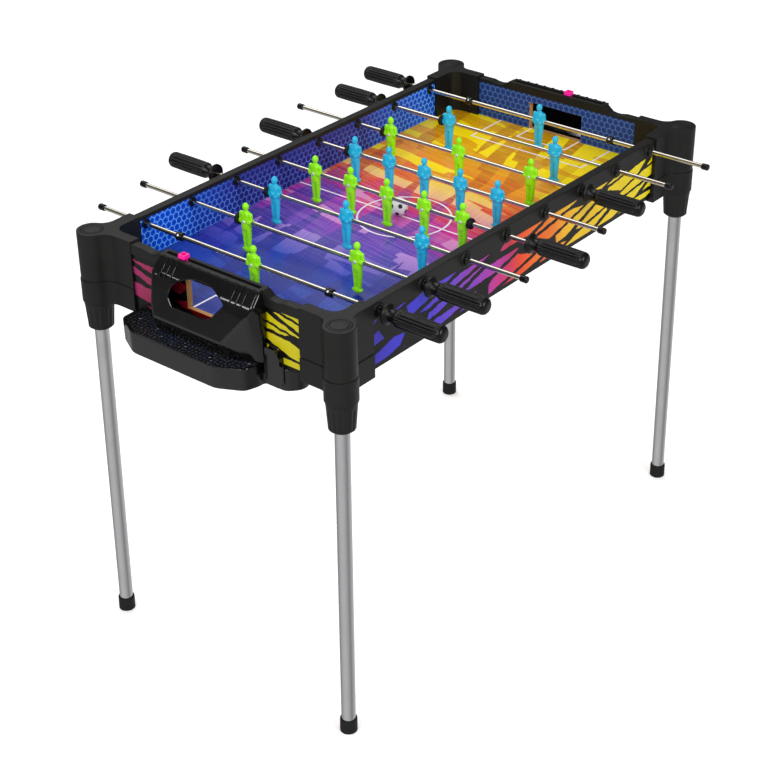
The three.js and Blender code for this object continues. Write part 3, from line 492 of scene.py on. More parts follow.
def panelMaterial(name, isSide):
    material, tree, sockets = startMaterial(name, Coat_Weight=0.05, Coat_Roughness=0.2,
                                            Specular_IOR_Level=0.22)
    point = objectPoint(tree)
    x, y, z = addNode(tree, "SeparateXYZ", point).outputs
    nx, ny = addNode(tree, "SeparateXYZ", addNode(tree, "TexCoord").outputs["Normal"]).outputs[:2]
    across, run, facing = (x, y, nx) if isSide else (y, x, ny)
    middle = (innerX + outerX) / 2 if isSide else (innerY + outerY) / 2
    outside = calc(tree, "GREATER_THAN", calc(tree, "ABSOLUTE", across), middle * mm)
    broad = calc(tree, "GREATER_THAN", calc(tree, "ABSOLUTE", facing), 0.5)
    flat = addNode(tree, "CombineXYZ", run, z).outputs[0]
    height = addNode(tree, "MapRange", z, fieldTop * mm, panelHigh.z * mm, 0.0, 1.0).outputs[0]
    grain = placeGroup(tree, groups["grain"], Vector=point, Scale=160.0)
    if isSide:
        ends = band(tree, calc(tree, "ABSOLUTE", run), 0.12, 0.4)
        inside = hexWall(tree, flat, ends, height)
        share = addNode(tree, "MapRange", run, -wingY * mm, wingY * mm, 0.0, 1.0).outputs[0]
        slash = placeGroup(tree, groups["slash"], Vector=flat, Turn=printLook["slashTurn"],
                           Gap=calc(tree, "SUBTRACT", printLook["slashGap"] + 0.08,
                                    calc(tree, "MULTIPLY", share, 0.12)))
        paint = sidePaint
    else:
        inside = blendColors(tree, 0.56, hexWall(tree, flat, 0.5, 0.2), tint(28, 48, 54))
        outward = calc(tree, "MULTIPLY", calc(tree, "SIGN", y), calc(tree, "MULTIPLY", x, -1.0))
        share = addNode(tree, "MapRange", outward, -wingX * mm, wingX * mm, 0.0, 1.0).outputs[0]
        slash = placeGroup(tree, groups["slash"], Vector=addNode(tree, "CombineXYZ", outward, z).outputs[0],
                           Turn=printLook["endTurn"],
                           Gap=calc(tree, "SUBTRACT", printLook["endGap"] + 0.06,
                                    calc(tree, "MULTIPLY", share, 0.07)))
        paint = endPaint
    shifted = calc(tree, "ADD", calc(tree, "SUBTRACT", share, 0.03),
                   calc(tree, "MULTIPLY", slash["Shade"], 0.06))
    shards = colorRamp(tree, shifted, [(place, tint(*color)) for place, color in paint])
    hem = band(tree, z, (panelLow.z + printLook["hem"]) * mm, (panelLow.z + printLook["hem"] + 1) * mm)
    mask = calc(tree, "MULTIPLY", slash["Mask"], hem)
    black = blendColors(tree, grain["Tone"], tint(8, 8, 8), tint(11, 11, 11))
    printed = blendColors(tree, mask, black, shards)
    face = blendColors(tree, outside, inside, printed)
    feed(tree, sockets["Base Color"], blendColors(tree, broad, boardColor(tree, point), face))
    rough = addNode(tree, "MapRange", grain["Tone"], 0.0, 1.0, 0.34, 0.46).outputs[0]
    smoother = calc(tree, "MULTIPLY", broad, calc(tree, "SUBTRACT", 0.8, rough))
    feed(tree, sockets["Roughness"], calc(tree, "SUBTRACT", 0.8, smoother))
    bump(tree, sockets, grain["Height"], 0.15, 0.03)
    return material


materials = {name: plasticMaterial(name) for name in plastics}
materials.update({name: metalMaterial(name) for name in metals})
materials["deck"] = deckMaterial()
materials["field"] = fieldMaterial()
materials["sidePanel"] = panelMaterial("sidePrint", True)
materials["endPanel"] = panelMaterial("endPrint", False)
print("materials ready:", len(materials))


# ---- mesh helpers

def loft(shape, rings, capped=True, paint=0, closed=False):
    # quads between rings of equal length, with flat ends, or joined head to tail
    rows = [[shape.verts.new(point) for point in ring] for ring in rings]
    pairs = list(zip(rows, rows[1:]))
    if closed:
        pairs.append((rows[-1], rows[0]))
    for low, high in pairs:
        for i in range(len(low)):
            j = (i + 1) % len(low)
            shape.faces.new((low[i], low[j], high[j], high[i])).material_index = paint
    if capped and not closed:
        for row in (rows[0][::-1], rows[-1]):
            shape.faces.new(row).material_index = paint


def soften(points, radius, steps=3, closed=False):
    # rounds the corners of a flat outline
    result = []
    count = len(points)
    for i, point in enumerate(points):
        if not closed and i in (0, count - 1):
            result.append(tuple(point))
            continue
        here = Vector(point)
        before, after = Vector(points[i - 1]) - here, Vector(points[(i + 1) % count]) - here
        reach = min(radius, before.length * 0.45, after.length * 0.45)
        a, b = here + before.normalized() * reach, here + after.normalized() * reach
        for k in range(steps + 1):
            t = k / steps
            result.append(tuple(a * (1 - t) ** 2 + here * 2 * t * (1 - t) + b * t ** 2))
    return result


def turnX(shape, profile, centre, segments=32, side=1, paint=0, ring=False, waves=None):
    # an outline of (distance, radius) turned about a bar; waves(distance, angle) changes the radius
    rings = []
    for distance, radius in profile:
        points = []
        for i in range(segments):
            angle = math.tau * i / segments
            r = radius + (waves(distance, angle) if waves else 0)
            points.append((centre[0] + side * distance, centre[1] + r * math.cos(angle),
                           centre[2] + r * math.sin(angle)))
        rings.append(points)
    loft(shape, rings, paint=paint, closed=ring)


def turnZ(shape, profile, place, segments=48, paint=0, ring=False, waves=None):
    # an outline of (height, radius) turned about an upright line; place(height) gives the line's X and Y
    rings = []
    for height, radius in profile:
        x, y = place(height)
        points = []
        for i in range(segments):
            angle = math.tau * i / segments
            r = radius + (waves(height, angle) if waves else 0)
            points.append((x + r * math.cos(angle), y + r * math.sin(angle), height))
        rings.append(points)
    loft(shape, rings, paint=paint, closed=ring)


def inset(outline, distance):
    # moves a closed outline, listed anticlockwise, inwards
    count = len(outline)
    result = []
    for i in range(count):
        here = Vector(outline[i])
        before = (here - Vector(outline[i - 1])).normalized()
        after = (Vector(outline[(i + 1) % count]) - here).normalized()
        normal = Vector((-before.y - after.y, before.x + after.x))
        size = normal.length
        normal = normal / size if size > 1e-6 else Vector((-before.y, before.x))
        stretch = 1 / max(0.5, normal.dot(Vector((-before.y, before.x))))
        result.append(tuple(here + normal * distance * stretch))
    return result


def roundedSlab(shape, outline, low, high, edge, steps=3, paint=0, place=None):
    # a flat outline given thickness, with rounded rims
    place = place or (lambda x, y, z: (x, y, z))
    rim = [(edge * (1 - math.cos(math.pi / 2 * k / steps)), edge * (1 - math.sin(math.pi / 2 * k / steps)))
           for k in range(steps + 1)]
    rings = [(low + lift, d) for lift, d in rim] + [(high - lift, d) for lift, d in rim[::-1]]
    loft(shape, [[place(x, y, z) for x, y in inset(outline, d)] for z, d in rings], paint=paint)


def rawObject(name, shape, finishes=()):
    bmesh.ops.remove_doubles(shape, verts=shape.verts, dist=1e-4)
    bmesh.ops.recalc_face_normals(shape, faces=shape.faces)
    mesh = bpy.data.meshes.new(name)
    shape.to_mesh(mesh)
    shape.free()
    mesh.transform(Matrix.Scale(mm, 4))
    for finish in finishes:
        mesh.materials.append(materials[finish])
    piece = bpy.data.objects.new(name, mesh)
    scene.collection.objects.link(piece)
    return piece


def bake(piece):
    graph = bpy.context.evaluated_depsgraph_get()
    mesh = bpy.data.meshes.new_from_object(piece.evaluated_get(graph))
    piece.modifiers.clear()
    piece.data = mesh


def carve(piece, shape):
    # cuts the shape out of the piece
    tool = rawObject("tool", shape)
    modifier = piece.modifiers.new("cut", "BOOLEAN")
    modifier.object = tool
    modifier.operation = "DIFFERENCE"
    modifier.solver = "EXACT"
    bake(piece)
    bpy.data.objects.remove(tool)


def reopen(piece):
    # a piece's mesh as a shape in millimetres again; the piece goes
    shape = bmesh.new()
    shape.from_mesh(piece.data)
    shape.transform(Matrix.Scale(1 / mm, 4))
    bpy.data.objects.remove(piece)
    return shape


def addShape(shape, extra, matrix=None):
    # puts one shape into another, and turns it first
    if matrix:
        bmesh.ops.transform(extra, matrix=matrix, verts=extra.verts)
    spare = bpy.data.meshes.new("spare")
    extra.to_mesh(spare)
    extra.free()
    shape.from_mesh(spare)
    bpy.data.meshes.remove(spare)


def finishPiece(piece, body, stands=(), sharp=38):
    piece.data.shade_smooth()
    piece.data.set_sharp_from_angle(angle=math.radians(sharp))
    weights = piece.modifiers.new("flatFaces", "WEIGHTED_NORMAL")
    weights.keep_sharp = True
    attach(piece, body)
    if stands:
        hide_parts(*stands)
    return piece


def makePiece(name, shape, body, finishes, stands=(), sharp=38):
    return finishPiece(rawObject(name, shape, finishes), body, stands, sharp)


def copyPiece(name, mesh, matrix, body, stands=()):
    piece = bpy.data.objects.new(name, mesh)
    scene.collection.objects.link(piece)
    piece.matrix_world = matrix
    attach(piece, body)
    if stands:
        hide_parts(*stands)
    return piece


def mirrored(source, name, flipX, flipY):
    mesh = source.data.copy()
    mesh.transform(Matrix.Diagonal((-1 if flipX else 1, -1 if flipY else 1, 1, 1)))
    if flipX != flipY:
        mesh.flip_normals()
    piece = bpy.data.objects.new(name, mesh)
    scene.collection.objects.link(piece)
    return piece


# ---- panels and field: the CAD boards with their print

boards = {"playfield": "field", "side_panel_left": "sidePanel", "side_panel_right": "sidePanel",
          "end_panel_near": "endPanel", "end_panel_far": "endPanel"}
for node, finish in boards.items():
    board = frame["nodes"][node].data
    board.materials.clear()
    board.materials.append(materials[finish])
print("boards printed")


# ---- rails

sideRail = {"edge": 1.6, "wall": 2.2, "lip": 1.6, "bossRadius": 13.0, "bossFoot": 15.0, "bore": 7.6,
            "barBore": 5.0}


def rodSide(name):
    return 1 if middleOf(name + "_handle").x > 0 else -1


def rodPlaceY(name):
    return middleOf(name + "_handle").y


def buildSideRail(side):
    low, high = railLow.z, railHigh.z
    inner, outer = railLow.x, outerX + (innerX - railLow.x)
    under = panelHigh.z + gap
    wall = sideRail["wall"]
    lip = under - sideRail["lip"]
    section = [(inner, lip), (inner + wall, lip), (inner + wall, under), (outer - wall, under),
               (outer - wall, low), (outer, low), (outer, high), (inner, high)]
    rounded = soften(section, sideRail["edge"], closed=True)
    shape = bmesh.new()
    reach = railHigh.y
    loft(shape, [[(side * x, y, z) for x, z in rounded] for y in (-reach, reach)])
    piece = rawObject("sideRail", shape, ["moulding"])
    holes, bosses = bmesh.new(), bmesh.new()
    face = railHigh.x - outer
    for name in rodNames:
        hole = sideRail["bore"] if rodSide(name) == side else sideRail["barBore"]
        centre = (side * outer, rodPlaceY(name), rodZ)
        turnX(holes, [(-5, hole), (5, hole)], centre, 32, side)
        foot, top = sideRail["bossFoot"], sideRail["bossRadius"]
        profile = soften([(0, hole), (0, foot), (1.2, top), (face, top), (face, hole)], 1.6, 4)
        turnX(bosses, profile, centre, 48, side, ring=True)
    carve(piece, holes)
    whole = reopen(piece)
    addShape(whole, bosses)
    word = "right" if side > 0 else "left"
    makePiece("rail_" + word, whole, "table", ["moulding"], ["side_rail_" + word], 32)


for side in (-1, 1):
    buildSideRail(side)

endRail = {"raised": 110.0, "slot": 104.0, "slotDepth": 6.0, "slotWidth": 8.0, "slotIn": 3.5, "rise": 9.0,
           "out": 9.0, "dip": 3.5, "edge": 1.3, "tickPitch": 20.0, "ticks": 11, "climb": 18.0, "settle": 30.0,
           "shoulder": 1.4, "lip": 1.6, "skirt": 12.0, "wall": 2.2}


def endRailHeight(x):
    # level at the corners, a dip, then a climb to the raised part
    away = abs(x)
    top = railHigh.z
    if away <= endRail["raised"]:
        return top + endRail["rise"]
    climb, settle, shoulder = endRail["climb"], endRail["settle"], endRail["shoulder"]
    if away <= endRail["raised"] + climb:
        t = (away - endRail["raised"]) / climb
        return top + endRail["rise"] - (endRail["rise"] + shoulder) * (3 * t * t - 2 * t ** 3)
    if away <= endRail["raised"] + climb + settle:
        t = (away - endRail["raised"] - climb) / settle
        return top - shoulder * (1 - t) - (endRail["dip"] - 1) * math.sin(math.pi * t) * (1 - t * 0.4)
    return top


def buildEndRail(end):
    inner, outer = endRailLow.y, outerY + (innerY - endRailLow.y)
    under = panelHigh.z + gap
    e, wall = endRail["edge"], endRail["wall"]
    lip, skirt = under - endRail["lip"], under - endRail["skirt"]
    slotMiddle = outerY - endRail["slotIn"]
    reach = endRailHigh.x
    sag = endRail["climb"] + endRail["settle"]
    stations = [-reach, -endRail["raised"] - sag]
    stations += [-endRail["raised"] - sag + 2 * i for i in range(1, int(sag / 2))]
    stations += [-endRail["raised"] - 0.6, -endRail["raised"], -endRail["slot"] - 0.01, -endRail["slot"]]
    stations += [-value for value in reversed(stations)]
    rings = []
    for x in stations:
        top = endRailHeight(x)
        raised = abs(x) <= endRail["raised"]
        out = outerY + endRail["out"] if raised else outer
        depth = endRail["slotDepth"] if abs(x) <= endRail["slot"] else 0.02
        half = endRail["slotWidth"] / 2
        section = [(inner, lip), (inner, top - e), (inner + e * 0.3, top - e * 0.3), (inner + e, top),
                   (slotMiddle - half, top), (slotMiddle - half, top - depth),
                   (slotMiddle + half, top - depth), (slotMiddle + half, top),
                   (max(out - e, slotMiddle + half + 0.1), top), (out - e * 0.3, top - e * 0.3),
                   (out, top - e), (out, under + 0.02), (outer, under), (outer, skirt),
                   (outer - wall, skirt), (outer - wall, under), (inner + wall, under),
                   (inner + wall, lip)]
        rings.append([(x, y, z) for y, z in section])
    shape = bmesh.new()
    loft(shape, [[(end * x, end * y, z) for x, y, z in ring] for ring in rings])
    for i in range(endRail["ticks"]):
        x = (i - (endRail["ticks"] - 1) / 2) * endRail["tickPitch"]
        edgeY = outerY + endRail["out"]
        outline = [(x - 2, edgeY - 3), (x + 2, edgeY - 3), (x + 2, edgeY), (x - 2, edgeY)]
        top = railHigh.z + endRail["rise"]
        roundedSlab(shape, outline, top - 0.5, top + 0.8, 0.3, 2, place=lambda a, b, c: (end * a, end * b, c))
    word = "far" if end > 0 else "near"
    makePiece("endRail_" + word, shape, "table", ["moulding"], ["end_rail_" + word], 30)


for end in (-1, 1):
    buildEndRail(end)
print("rails built")


# ---- corners, caps and legs

cornerLook = {"radius": 27.0, "stepOut": 1.2, "stepHeight": 44.0, "sideSkin": 7.5, "endSkin": 3.5,
              "innerSkin": 6.5, "innerRound": 20.0, "outerRound": 24.0, "edge": 1.4, "tenon": 24.3,
              "capRadius": 20.3, "capDepth": 4.0}
legLook = {"tube": 12.7, "bore": 13.0, "splayX": 3.6, "splayY": 9.0, "roof": 740.3, "flutes": 14,
           "fluteDepth": 1.5}


def arc(cx, cy, radius, start, stop, steps):
    angles = [start + (stop - start) * i / steps for i in range(steps + 1)]
    return [(cx + radius * math.cos(a), cy + radius * math.sin(a)) for a in angles]


def cornerOutline(grow):
    # two wings that meet a round post, blended outside and rounded inside, in the far right quarter
    look = cornerLook
    radius = look["radius"] + grow
    faceX = outerX + look["sideSkin"] + grow
    faceY = outerY + look["endSkin"] + grow
    insideX, insideY = innerX - look["innerSkin"], innerY - look["innerSkin"]
    spread = radius + look["outerRound"]
    blendX, blendY = faceX + look["outerRound"], faceY + look["outerRound"]
    blendXAt = post.y - math.sqrt(spread ** 2 - (blendX - post.x) ** 2)
    blendYAt = post.x - math.sqrt(spread ** 2 - (blendY - post.y) ** 2)
    angleX = math.atan2(blendXAt - post.y, blendX - post.x)
    angleY = math.atan2(blendY - post.y, blendYAt - post.x)
    r = look["innerRound"]
    points = [(wingX, insideY)] + arc(insideX - r, insideY - r, r, math.pi / 2, 0, 10)
    points += [(insideX, wingY), (faceX, wingY)]
    points += arc(blendX, blendXAt, look["outerRound"], math.pi, angleX + math.pi, 8)
    points += arc(post.x, post.y, radius, angleX, angleY, 40)[1:-1]
    points += arc(blendYAt, blendY, look["outerRound"], angleY - math.pi, -math.pi / 2, 8)
    return points + [(wingX, faceY)]


def legLine(height, sideX=1, sideY=1):
    below = (cornerLow.z - height) / cornerLow.z
    return sideX * (post.x + legLook["splayX"] * below), sideY * (post.y + legLook["splayY"] * below)


def blockBetween(shape, low, high):
    corners = [(low[0], low[1]), (high[0], low[1]), (high[0], high[1]), (low[0], high[1])]
    loft(shape, [[(x, y, z) for x, y in corners] for z in (low[2], high[2])])


def buildCorner():
    look = cornerLook
    low, high, edge = cornerLow.z, cornerHigh.z, look["edge"]
    step = low + look["stepHeight"]
    wide, slim = cornerOutline(look["stepOut"]), cornerOutline(0)
    rings = [(inset(wide, edge), low), (inset(wide, edge * 0.3), low + edge * 0.3), (wide, low + edge),
             (wide, step - 1.6), (inset(wide, 0.5), step - 0.5), (inset(wide, 1.7), step),
             (inset(slim, 0.5), step + 0.8), (slim, step + 1.2), (slim, high - edge),
             (inset(slim, edge * 0.3), high - edge * 0.3), (inset(slim, edge), high)]
    shape = bmesh.new()
    loft(shape, [[(x, y, z) for x, y in outline] for outline, z in rings])
    piece = rawObject("corner", shape, ["moulding"])
    tools = bmesh.new()
    slotLow, slotHigh = panelLow.z - gap, panelHigh.z + gap
    blockBetween(tools, (innerX - gap, wingY - 2, slotLow), (outerX + gap, wingY + look["tenon"], slotHigh))
    carve(piece, tools)
    tools = bmesh.new()
    blockBetween(tools, (wingX - 2, innerY - gap, slotLow), (wingX + look["tenon"], outerY + gap, slotHigh))
    carve(piece, tools)
    tools = bmesh.new()
    board = boxOf("playfield")
    blockBetween(tools, (0, 0, board[0].z - gap), (board[1].x + gap, board[1].y + gap, board[1].z + gap))
    carve(piece, tools)
    tools = bmesh.new()
    turnZ(tools, [(low - 20, legLook["bore"]), (legLook["roof"], legLook["bore"])], legLine, 40)
    turnZ(tools, [(high - look["capDepth"], look["capRadius"]), (high + 3, look["capRadius"])],
          lambda z: (post.x, post.y), 64)
    carve(piece, tools)
    return piece


cornerPiece = buildCorner()
quarters = [("far", "right", 1, 1), ("far", "left", -1, 1), ("near", "right", 1, -1),
            ("near", "left", -1, -1)]
for word, hand, sideX, sideY in quarters:
    spot = word + "_" + hand
    copy = mirrored(cornerPiece, "cornerMoulding_" + spot, sideX < 0, sideY < 0)
    finishPiece(copy, "table", ["corner_" + spot], 32)
bpy.data.objects.remove(cornerPiece)


def buildQuarter(word, hand, sideX, sideY):
    spot = word + "_" + hand
    line = lambda height: legLine(height, sideX, sideY)
    upright = lambda height: (sideX * post.x, sideY * post.y)
    low, high = boxOf("corner_cap_" + spot)
    radius = (high.x - low.x) / 2
    shape = bmesh.new()
    turnZ(shape, soften([(low.z, radius - 0.6), (high.z - 1, radius), (high.z - 0.2, radius - 1),
                         (high.z, radius - 3), (high.z - 0.7, radius - 3.8), (high.z - 0.7, radius - 4.6),
                         (high.z + 0.1, radius - 5.4), (high.z + 0.5, radius - 12),
                         (high.z + 0.6, 1.0)], 0.4, 2), upright, 64)
    makePiece("postCap_" + spot, shape, "table", ["moulding"], ["corner_cap_" + spot], 30)

    low, high = boxOf("leg_sleeve_" + spot)
    bore, top, foot = legLook["bore"], high.z, low.z
    flutes = legLook["flutes"]

    def flute(height, angle):
        share = (height - foot) / (top - foot)
        strength = max(0.0, min(1.0, (share - 0.1) / 0.1, (0.86 - share) / 0.06))
        wave = 0.5 - 0.5 * math.cos(flutes * angle)
        return -legLook["fluteDepth"] * strength * (1 - wave ** 0.6)

    heights = [foot + (top - foot) * i / 24 for i in range(1, 24)]
    outer = [(foot, bore + 3.4), (foot + 1, bore + 5.2)]
    outer += [(z, bore + 9.2 + 4.1 * (z - foot) / (top - foot)) for z in heights[1:]]
    outer += [(top - 0.8, bore + 13.3), (top, bore + 12.4)]
    shape = bmesh.new()
    turnZ(shape, [(foot, bore)] + outer + [(top, bore)], line, 168, ring=True, waves=flute)
    makePiece("legSleeve_" + spot, shape, "table", ["moulding"], ["leg_sleeve_" + spot], 40)

    low, high = boxOf("leg_tube_" + spot)
    tube = legLook["tube"]
    shape = bmesh.new()
    turnZ(shape, [(low.z, tube - 1.5), (low.z, tube), (high.z, tube), (high.z, tube - 1.5)], line, 64,
          ring=True)
    makePiece("legTube_" + spot, shape, "table", ["legSteel"], ["leg_tube_" + spot], 30)

    low, high = boxOf("foot_cap_" + spot)
    outer = legLook["bore"] + 2.5
    height = high.z
    profile = [(0.0, outer - 5), (0.0, outer - 1.6), (1.6, outer), (4.5, outer), (5.2, outer - 0.5),
               (6.0, outer), (height - 3, outer - 0.2), (height - 0.6, outer - 0.4), (height, outer - 1.2),
               (height, legLook["tube"] + 0.1), (4.0, legLook["tube"] + 0.1)]
    shape = bmesh.new()
    turnZ(shape, soften(profile, 0.5, 2), line, 56)
    makePiece("footCap_" + spot, shape, "table", ["footRubber"], ["foot_cap_" + spot], 32)


for quarter in quarters:
    buildQuarter(*quarter)
print("corners and legs built")


# ---- figures

def ellipsoid(shape, centre, radii, turn=None):
    made = bmesh.ops.create_icosphere(shape, subdivisions=3, radius=1)
    matrix = Matrix.Translation(centre) @ (turn or Matrix()) @ Matrix.Diagonal((*radii, 1))
    bmesh.ops.transform(shape, matrix=matrix, verts=made["verts"])


def limb(shape, start, end, startRadius, endRadius, steps=10):
    # overlapping balls along a line, which the remesh turns into one smooth limb
    a, b = Vector(start), Vector(end)
    for i in range(steps + 1):
        t = i / steps
        radius = startRadius + (endRadius - startRadius) * t
        ellipsoid(shape, a.lerp(b, t), (radius, radius, radius))


def trunk(shape, levels, segments=28):
    # levels are (height, half width, half depth, forward)
    rings = []
    for z, wide, deep, forward in levels:
        ring = []
        for i in range(segments):
            angle = math.tau * i / segments
            c, s = math.cos(angle), math.sin(angle)
            ring.append((wide * math.copysign(abs(c) ** 0.85, c),
                         forward + deep * math.copysign(abs(s) ** 0.85, s), z))
        rings.append(ring)
    loft(shape, rings)


figureLook = {"sole": -60.0, "crown": 34.0, "voxel": 0.75, "screwRadius": 3.0, "backDepth": 7.2}


def buildFigureMesh(team):
    # stands over its bar's axis and faces +Y
    look = figureLook
    shape = bmesh.new()
    ellipsoid(shape, (0, 0.2, look["crown"] - 7.2), (5.7, 6.1, 7.2))
    ellipsoid(shape, (0, 2.4, look["crown"] - 9.6), (3.8, 4.0, 4.2))
    limb(shape, (0, 0, 24), (0, -0.4, 15), 3.1, 4.4)
    trunk(shape, [(18.5, 4.5, 3.6, 0), (17, 7.6, 4.8, 0), (14.5, 10.2, 5.8, 0), (11, 11.0, 6.6, 0.4),
                  (6, 10.8, 7.2, 0.7), (0, 10.4, 7.4, 0.7), (-6, 9.8, 7.0, 0.3), (-12, 9.9, 6.8, 0),
                  (-17, 8.8, 6.0, 0)])
    for side in (-1, 1):
        limb(shape, (side * 10.6, 0, 13.4), (side * 12.2, -0.6, 2.5), 3.7, 3.1)
        limb(shape, (side * 12.0, -0.2, 2.5), (side * 6.0, 6.4, -3.5), 3.0, 2.5)
        ellipsoid(shape, (side * 4.6, 7.0, -3.8), (2.8, 2.2, 2.2))
        limb(shape, (side * 4.9, 0, -14), (side * 4.5, 0.6, -34), 5.1, 4.4)
        limb(shape, (side * 4.5, 0.6, -34), (side * 3.9, 0, -52), 4.4, 3.5)
    ellipsoid(shape, (0, 4.8, 1.0), (6.8, 5.6, 6.8))
    sole = look["sole"]
    foot = [(sole, 3.4, 3.4), (sole + 1.2, 5.0, 4.2), (sole + 5.0, 10.2, 6.0), (sole + 6.8, 10.6, 5.8),
            (sole + 8.8, 9.2, 5.0), (sole + 10.0, 6.6, 4.2)]
    loft(shape, [[(x * w, y * d, z) for x, y in ((-1, -0.55), (0, -1), (1, -0.55), (1, 0.55), (0, 1),
                                                 (-1, 0.55))]
                 for z, w, d in foot])
    made = bmesh.ops.create_cone(shape, cap_ends=True, segments=40, radius1=6.0, radius2=6.0, depth=27.0)
    bmesh.ops.transform(shape, matrix=Matrix.Rotation(math.pi / 2, 4, "Y"), verts=made["verts"])
    body = rawObject("figureBody", shape, [team])
    remesh = body.modifiers.new("skin", "REMESH")
    remesh.mode = "VOXEL"
    remesh.voxel_size = look["voxel"] * mm
    soft = body.modifiers.new("soft", "SMOOTH")
    soft.factor = 0.5
    soft.iterations = 3
    thin = body.modifiers.new("thin", "DECIMATE")
    thin.ratio = 0.3
    bake(body)
    # the screw in the back
    screw = bmesh.new()
    r = look["screwRadius"]
    turnX(screw, [(-2.5, r), (0.2, r), (0.9, r * 0.8), (1.2, r * 0.35)], (0, 0, 0), 24, paint=1)
    whole = reopen(body)
    back = Matrix.Translation((0, -look["backDepth"] - 0.4, 0))
    addShape(whole, screw, back @ Matrix.Rotation(-math.pi / 2, 4, "Z"))
    final = rawObject("figure", whole, [team, "screwSteel"])
    mesh = final.data
    mesh.shade_smooth()
    mesh.set_sharp_from_angle(angle=math.radians(50))
    bpy.data.objects.remove(final)
    return mesh


figureMeshes = {"green": buildFigureMesh("greenFigure"), "blue": buildFigureMesh("blueFigure")}
print("figures modelled:", len(figureMeshes["green"].vertices), "points each")


def figurePlaces(name):
    # the soles of a rod's figures show where they stand
    mesh = frame["nodes"][name + "_rod"].data
    soles = sorted({round(v.co.x / mm, 2) for v in mesh.vertices if v.co.z / mm < rodZ - 55})
    clusters = [[soles[0]]]
    for x in soles[1:]:
        if x - clusters[-1][-1] > 25:
            clusters.append([])
        clusters[-1].append(x)
    return [(cluster[0] + cluster[-1]) / 2 for cluster in clusters]


# ---- rods, rings, handles and bushings

rodLook = {"bar": 4.0, "capRadius": 6.0, "capLength": 14.0, "ringOut": 17.0}
# stop rings from the middle of the rod's figures, and the side that its rubber ring is on
stopRings = {"green_goalie": dict(collars=[-170.0, 165.5], bumper=0),
             "green_defence": dict(collars=[], bumper=-1),
             "blue_attack": dict(collars=[], bumper=-1), "green_midfield": dict(collars=[], bumper=1),
             "blue_midfield": dict(collars=[], bumper=-1), "green_attack": dict(collars=[], bumper=-1),
             "blue_defence": dict(collars=[], bumper=-1),
             "blue_goalie": dict(collars=[-168.0, 164.0], bumper=0)}
handleLook = {"length": 115.0, "flange": 17.6, "grip": 14.8, "neck": 11.0, "ridges": 17, "ridgeDepth": 2.0}


def buildHandleMesh():
    # starts at the flange and runs along +X
    look = handleLook
    grip, neck, length = look["grip"], look["neck"], look["length"]

    def ridges(distance, angle):
        strength = max(0.0, min(1.0, (distance - 24) / 5, (length - 7 - distance) / 4))
        wave = 0.5 + 0.5 * math.cos(look["ridges"] * angle)
        return -look["ridgeDepth"] * strength * wave ** 2.2

    profile = [(2.4, 4.3), (2.4, 10.5), (0.0, 15.2), (0.3, 16.8), (1.2, look["flange"]),
               (4.4, look["flange"]), (5.4, look["flange"] - 0.8), (6.2, 14.6), (7.4, neck + 1.2),
               (9.5, neck + 0.2), (14.0, neck), (18.0, neck + 0.2), (20.6, neck + 1.2), (22.6, grip - 1.4),
               (24.5, grip - 0.4)]
    profile += [(distance, grip + 0.35 * math.sin(math.pi * (distance - 26) / 78))
                for distance in range(26, 104, 6)]
    profile += [(length - 9, grip), (length - 6, grip - 0.4), (length - 3.4, grip - 1.7),
                (length - 1.6, grip - 3.6), (length - 0.6, grip - 5.6), (length - 0.5, grip - 6.2),
                (length - 0.9, grip - 6.6), (length, grip - 9.5), (length, 1.5)]
    shape = bmesh.new()
    turnX(shape, profile, (0, 0, 0), 160, waves=ridges)
    piece = rawObject("handle", shape, ["grip"])
    mesh = piece.data
    mesh.shade_smooth()
    mesh.set_sharp_from_angle(angle=math.radians(48))
    bpy.data.objects.remove(piece)
    return mesh


handleMesh = buildHandleMesh()
halfTurn = Matrix.Rotation(math.pi, 4, "Z")


def buildBushing(name, side, y, body, stands):
    # inner flange and outer nut of a rod's bushing on one side; the barrel is only on the turning ones
    low, high = boxOf("green_goalie_bushing")
    bore = 4.35
    start, end = low.x, high.x
    nut = end - 4.7
    shape = bmesh.new()
    flange = soften([(start, bore), (start, 7.4), (start + 0.5, 9), (innerX - gap, 9),
                     (innerX - gap, bore)], 0.5, 2)
    outer = soften([(nut, bore), (nut, 10), (end - 1.4, 10), (end - 1.2, 7.6), (end, 7.2), (end, bore)],
                   0.5, 2)
    if stands:
        flange = flange[:-1] + [(innerX - gap, 7)]
        outer = [(nut, 7)] + outer[1:]
        turnX(shape, flange + outer, (0, y, rodZ), 48, side, ring=True)
    else:
        turnX(shape, flange, (0, y, rodZ), 48, side, ring=True)
        turnX(shape, outer, (0, y, rodZ), 48, side, ring=True)
    makePiece(name, shape, body, ["bushing"], stands, 32)


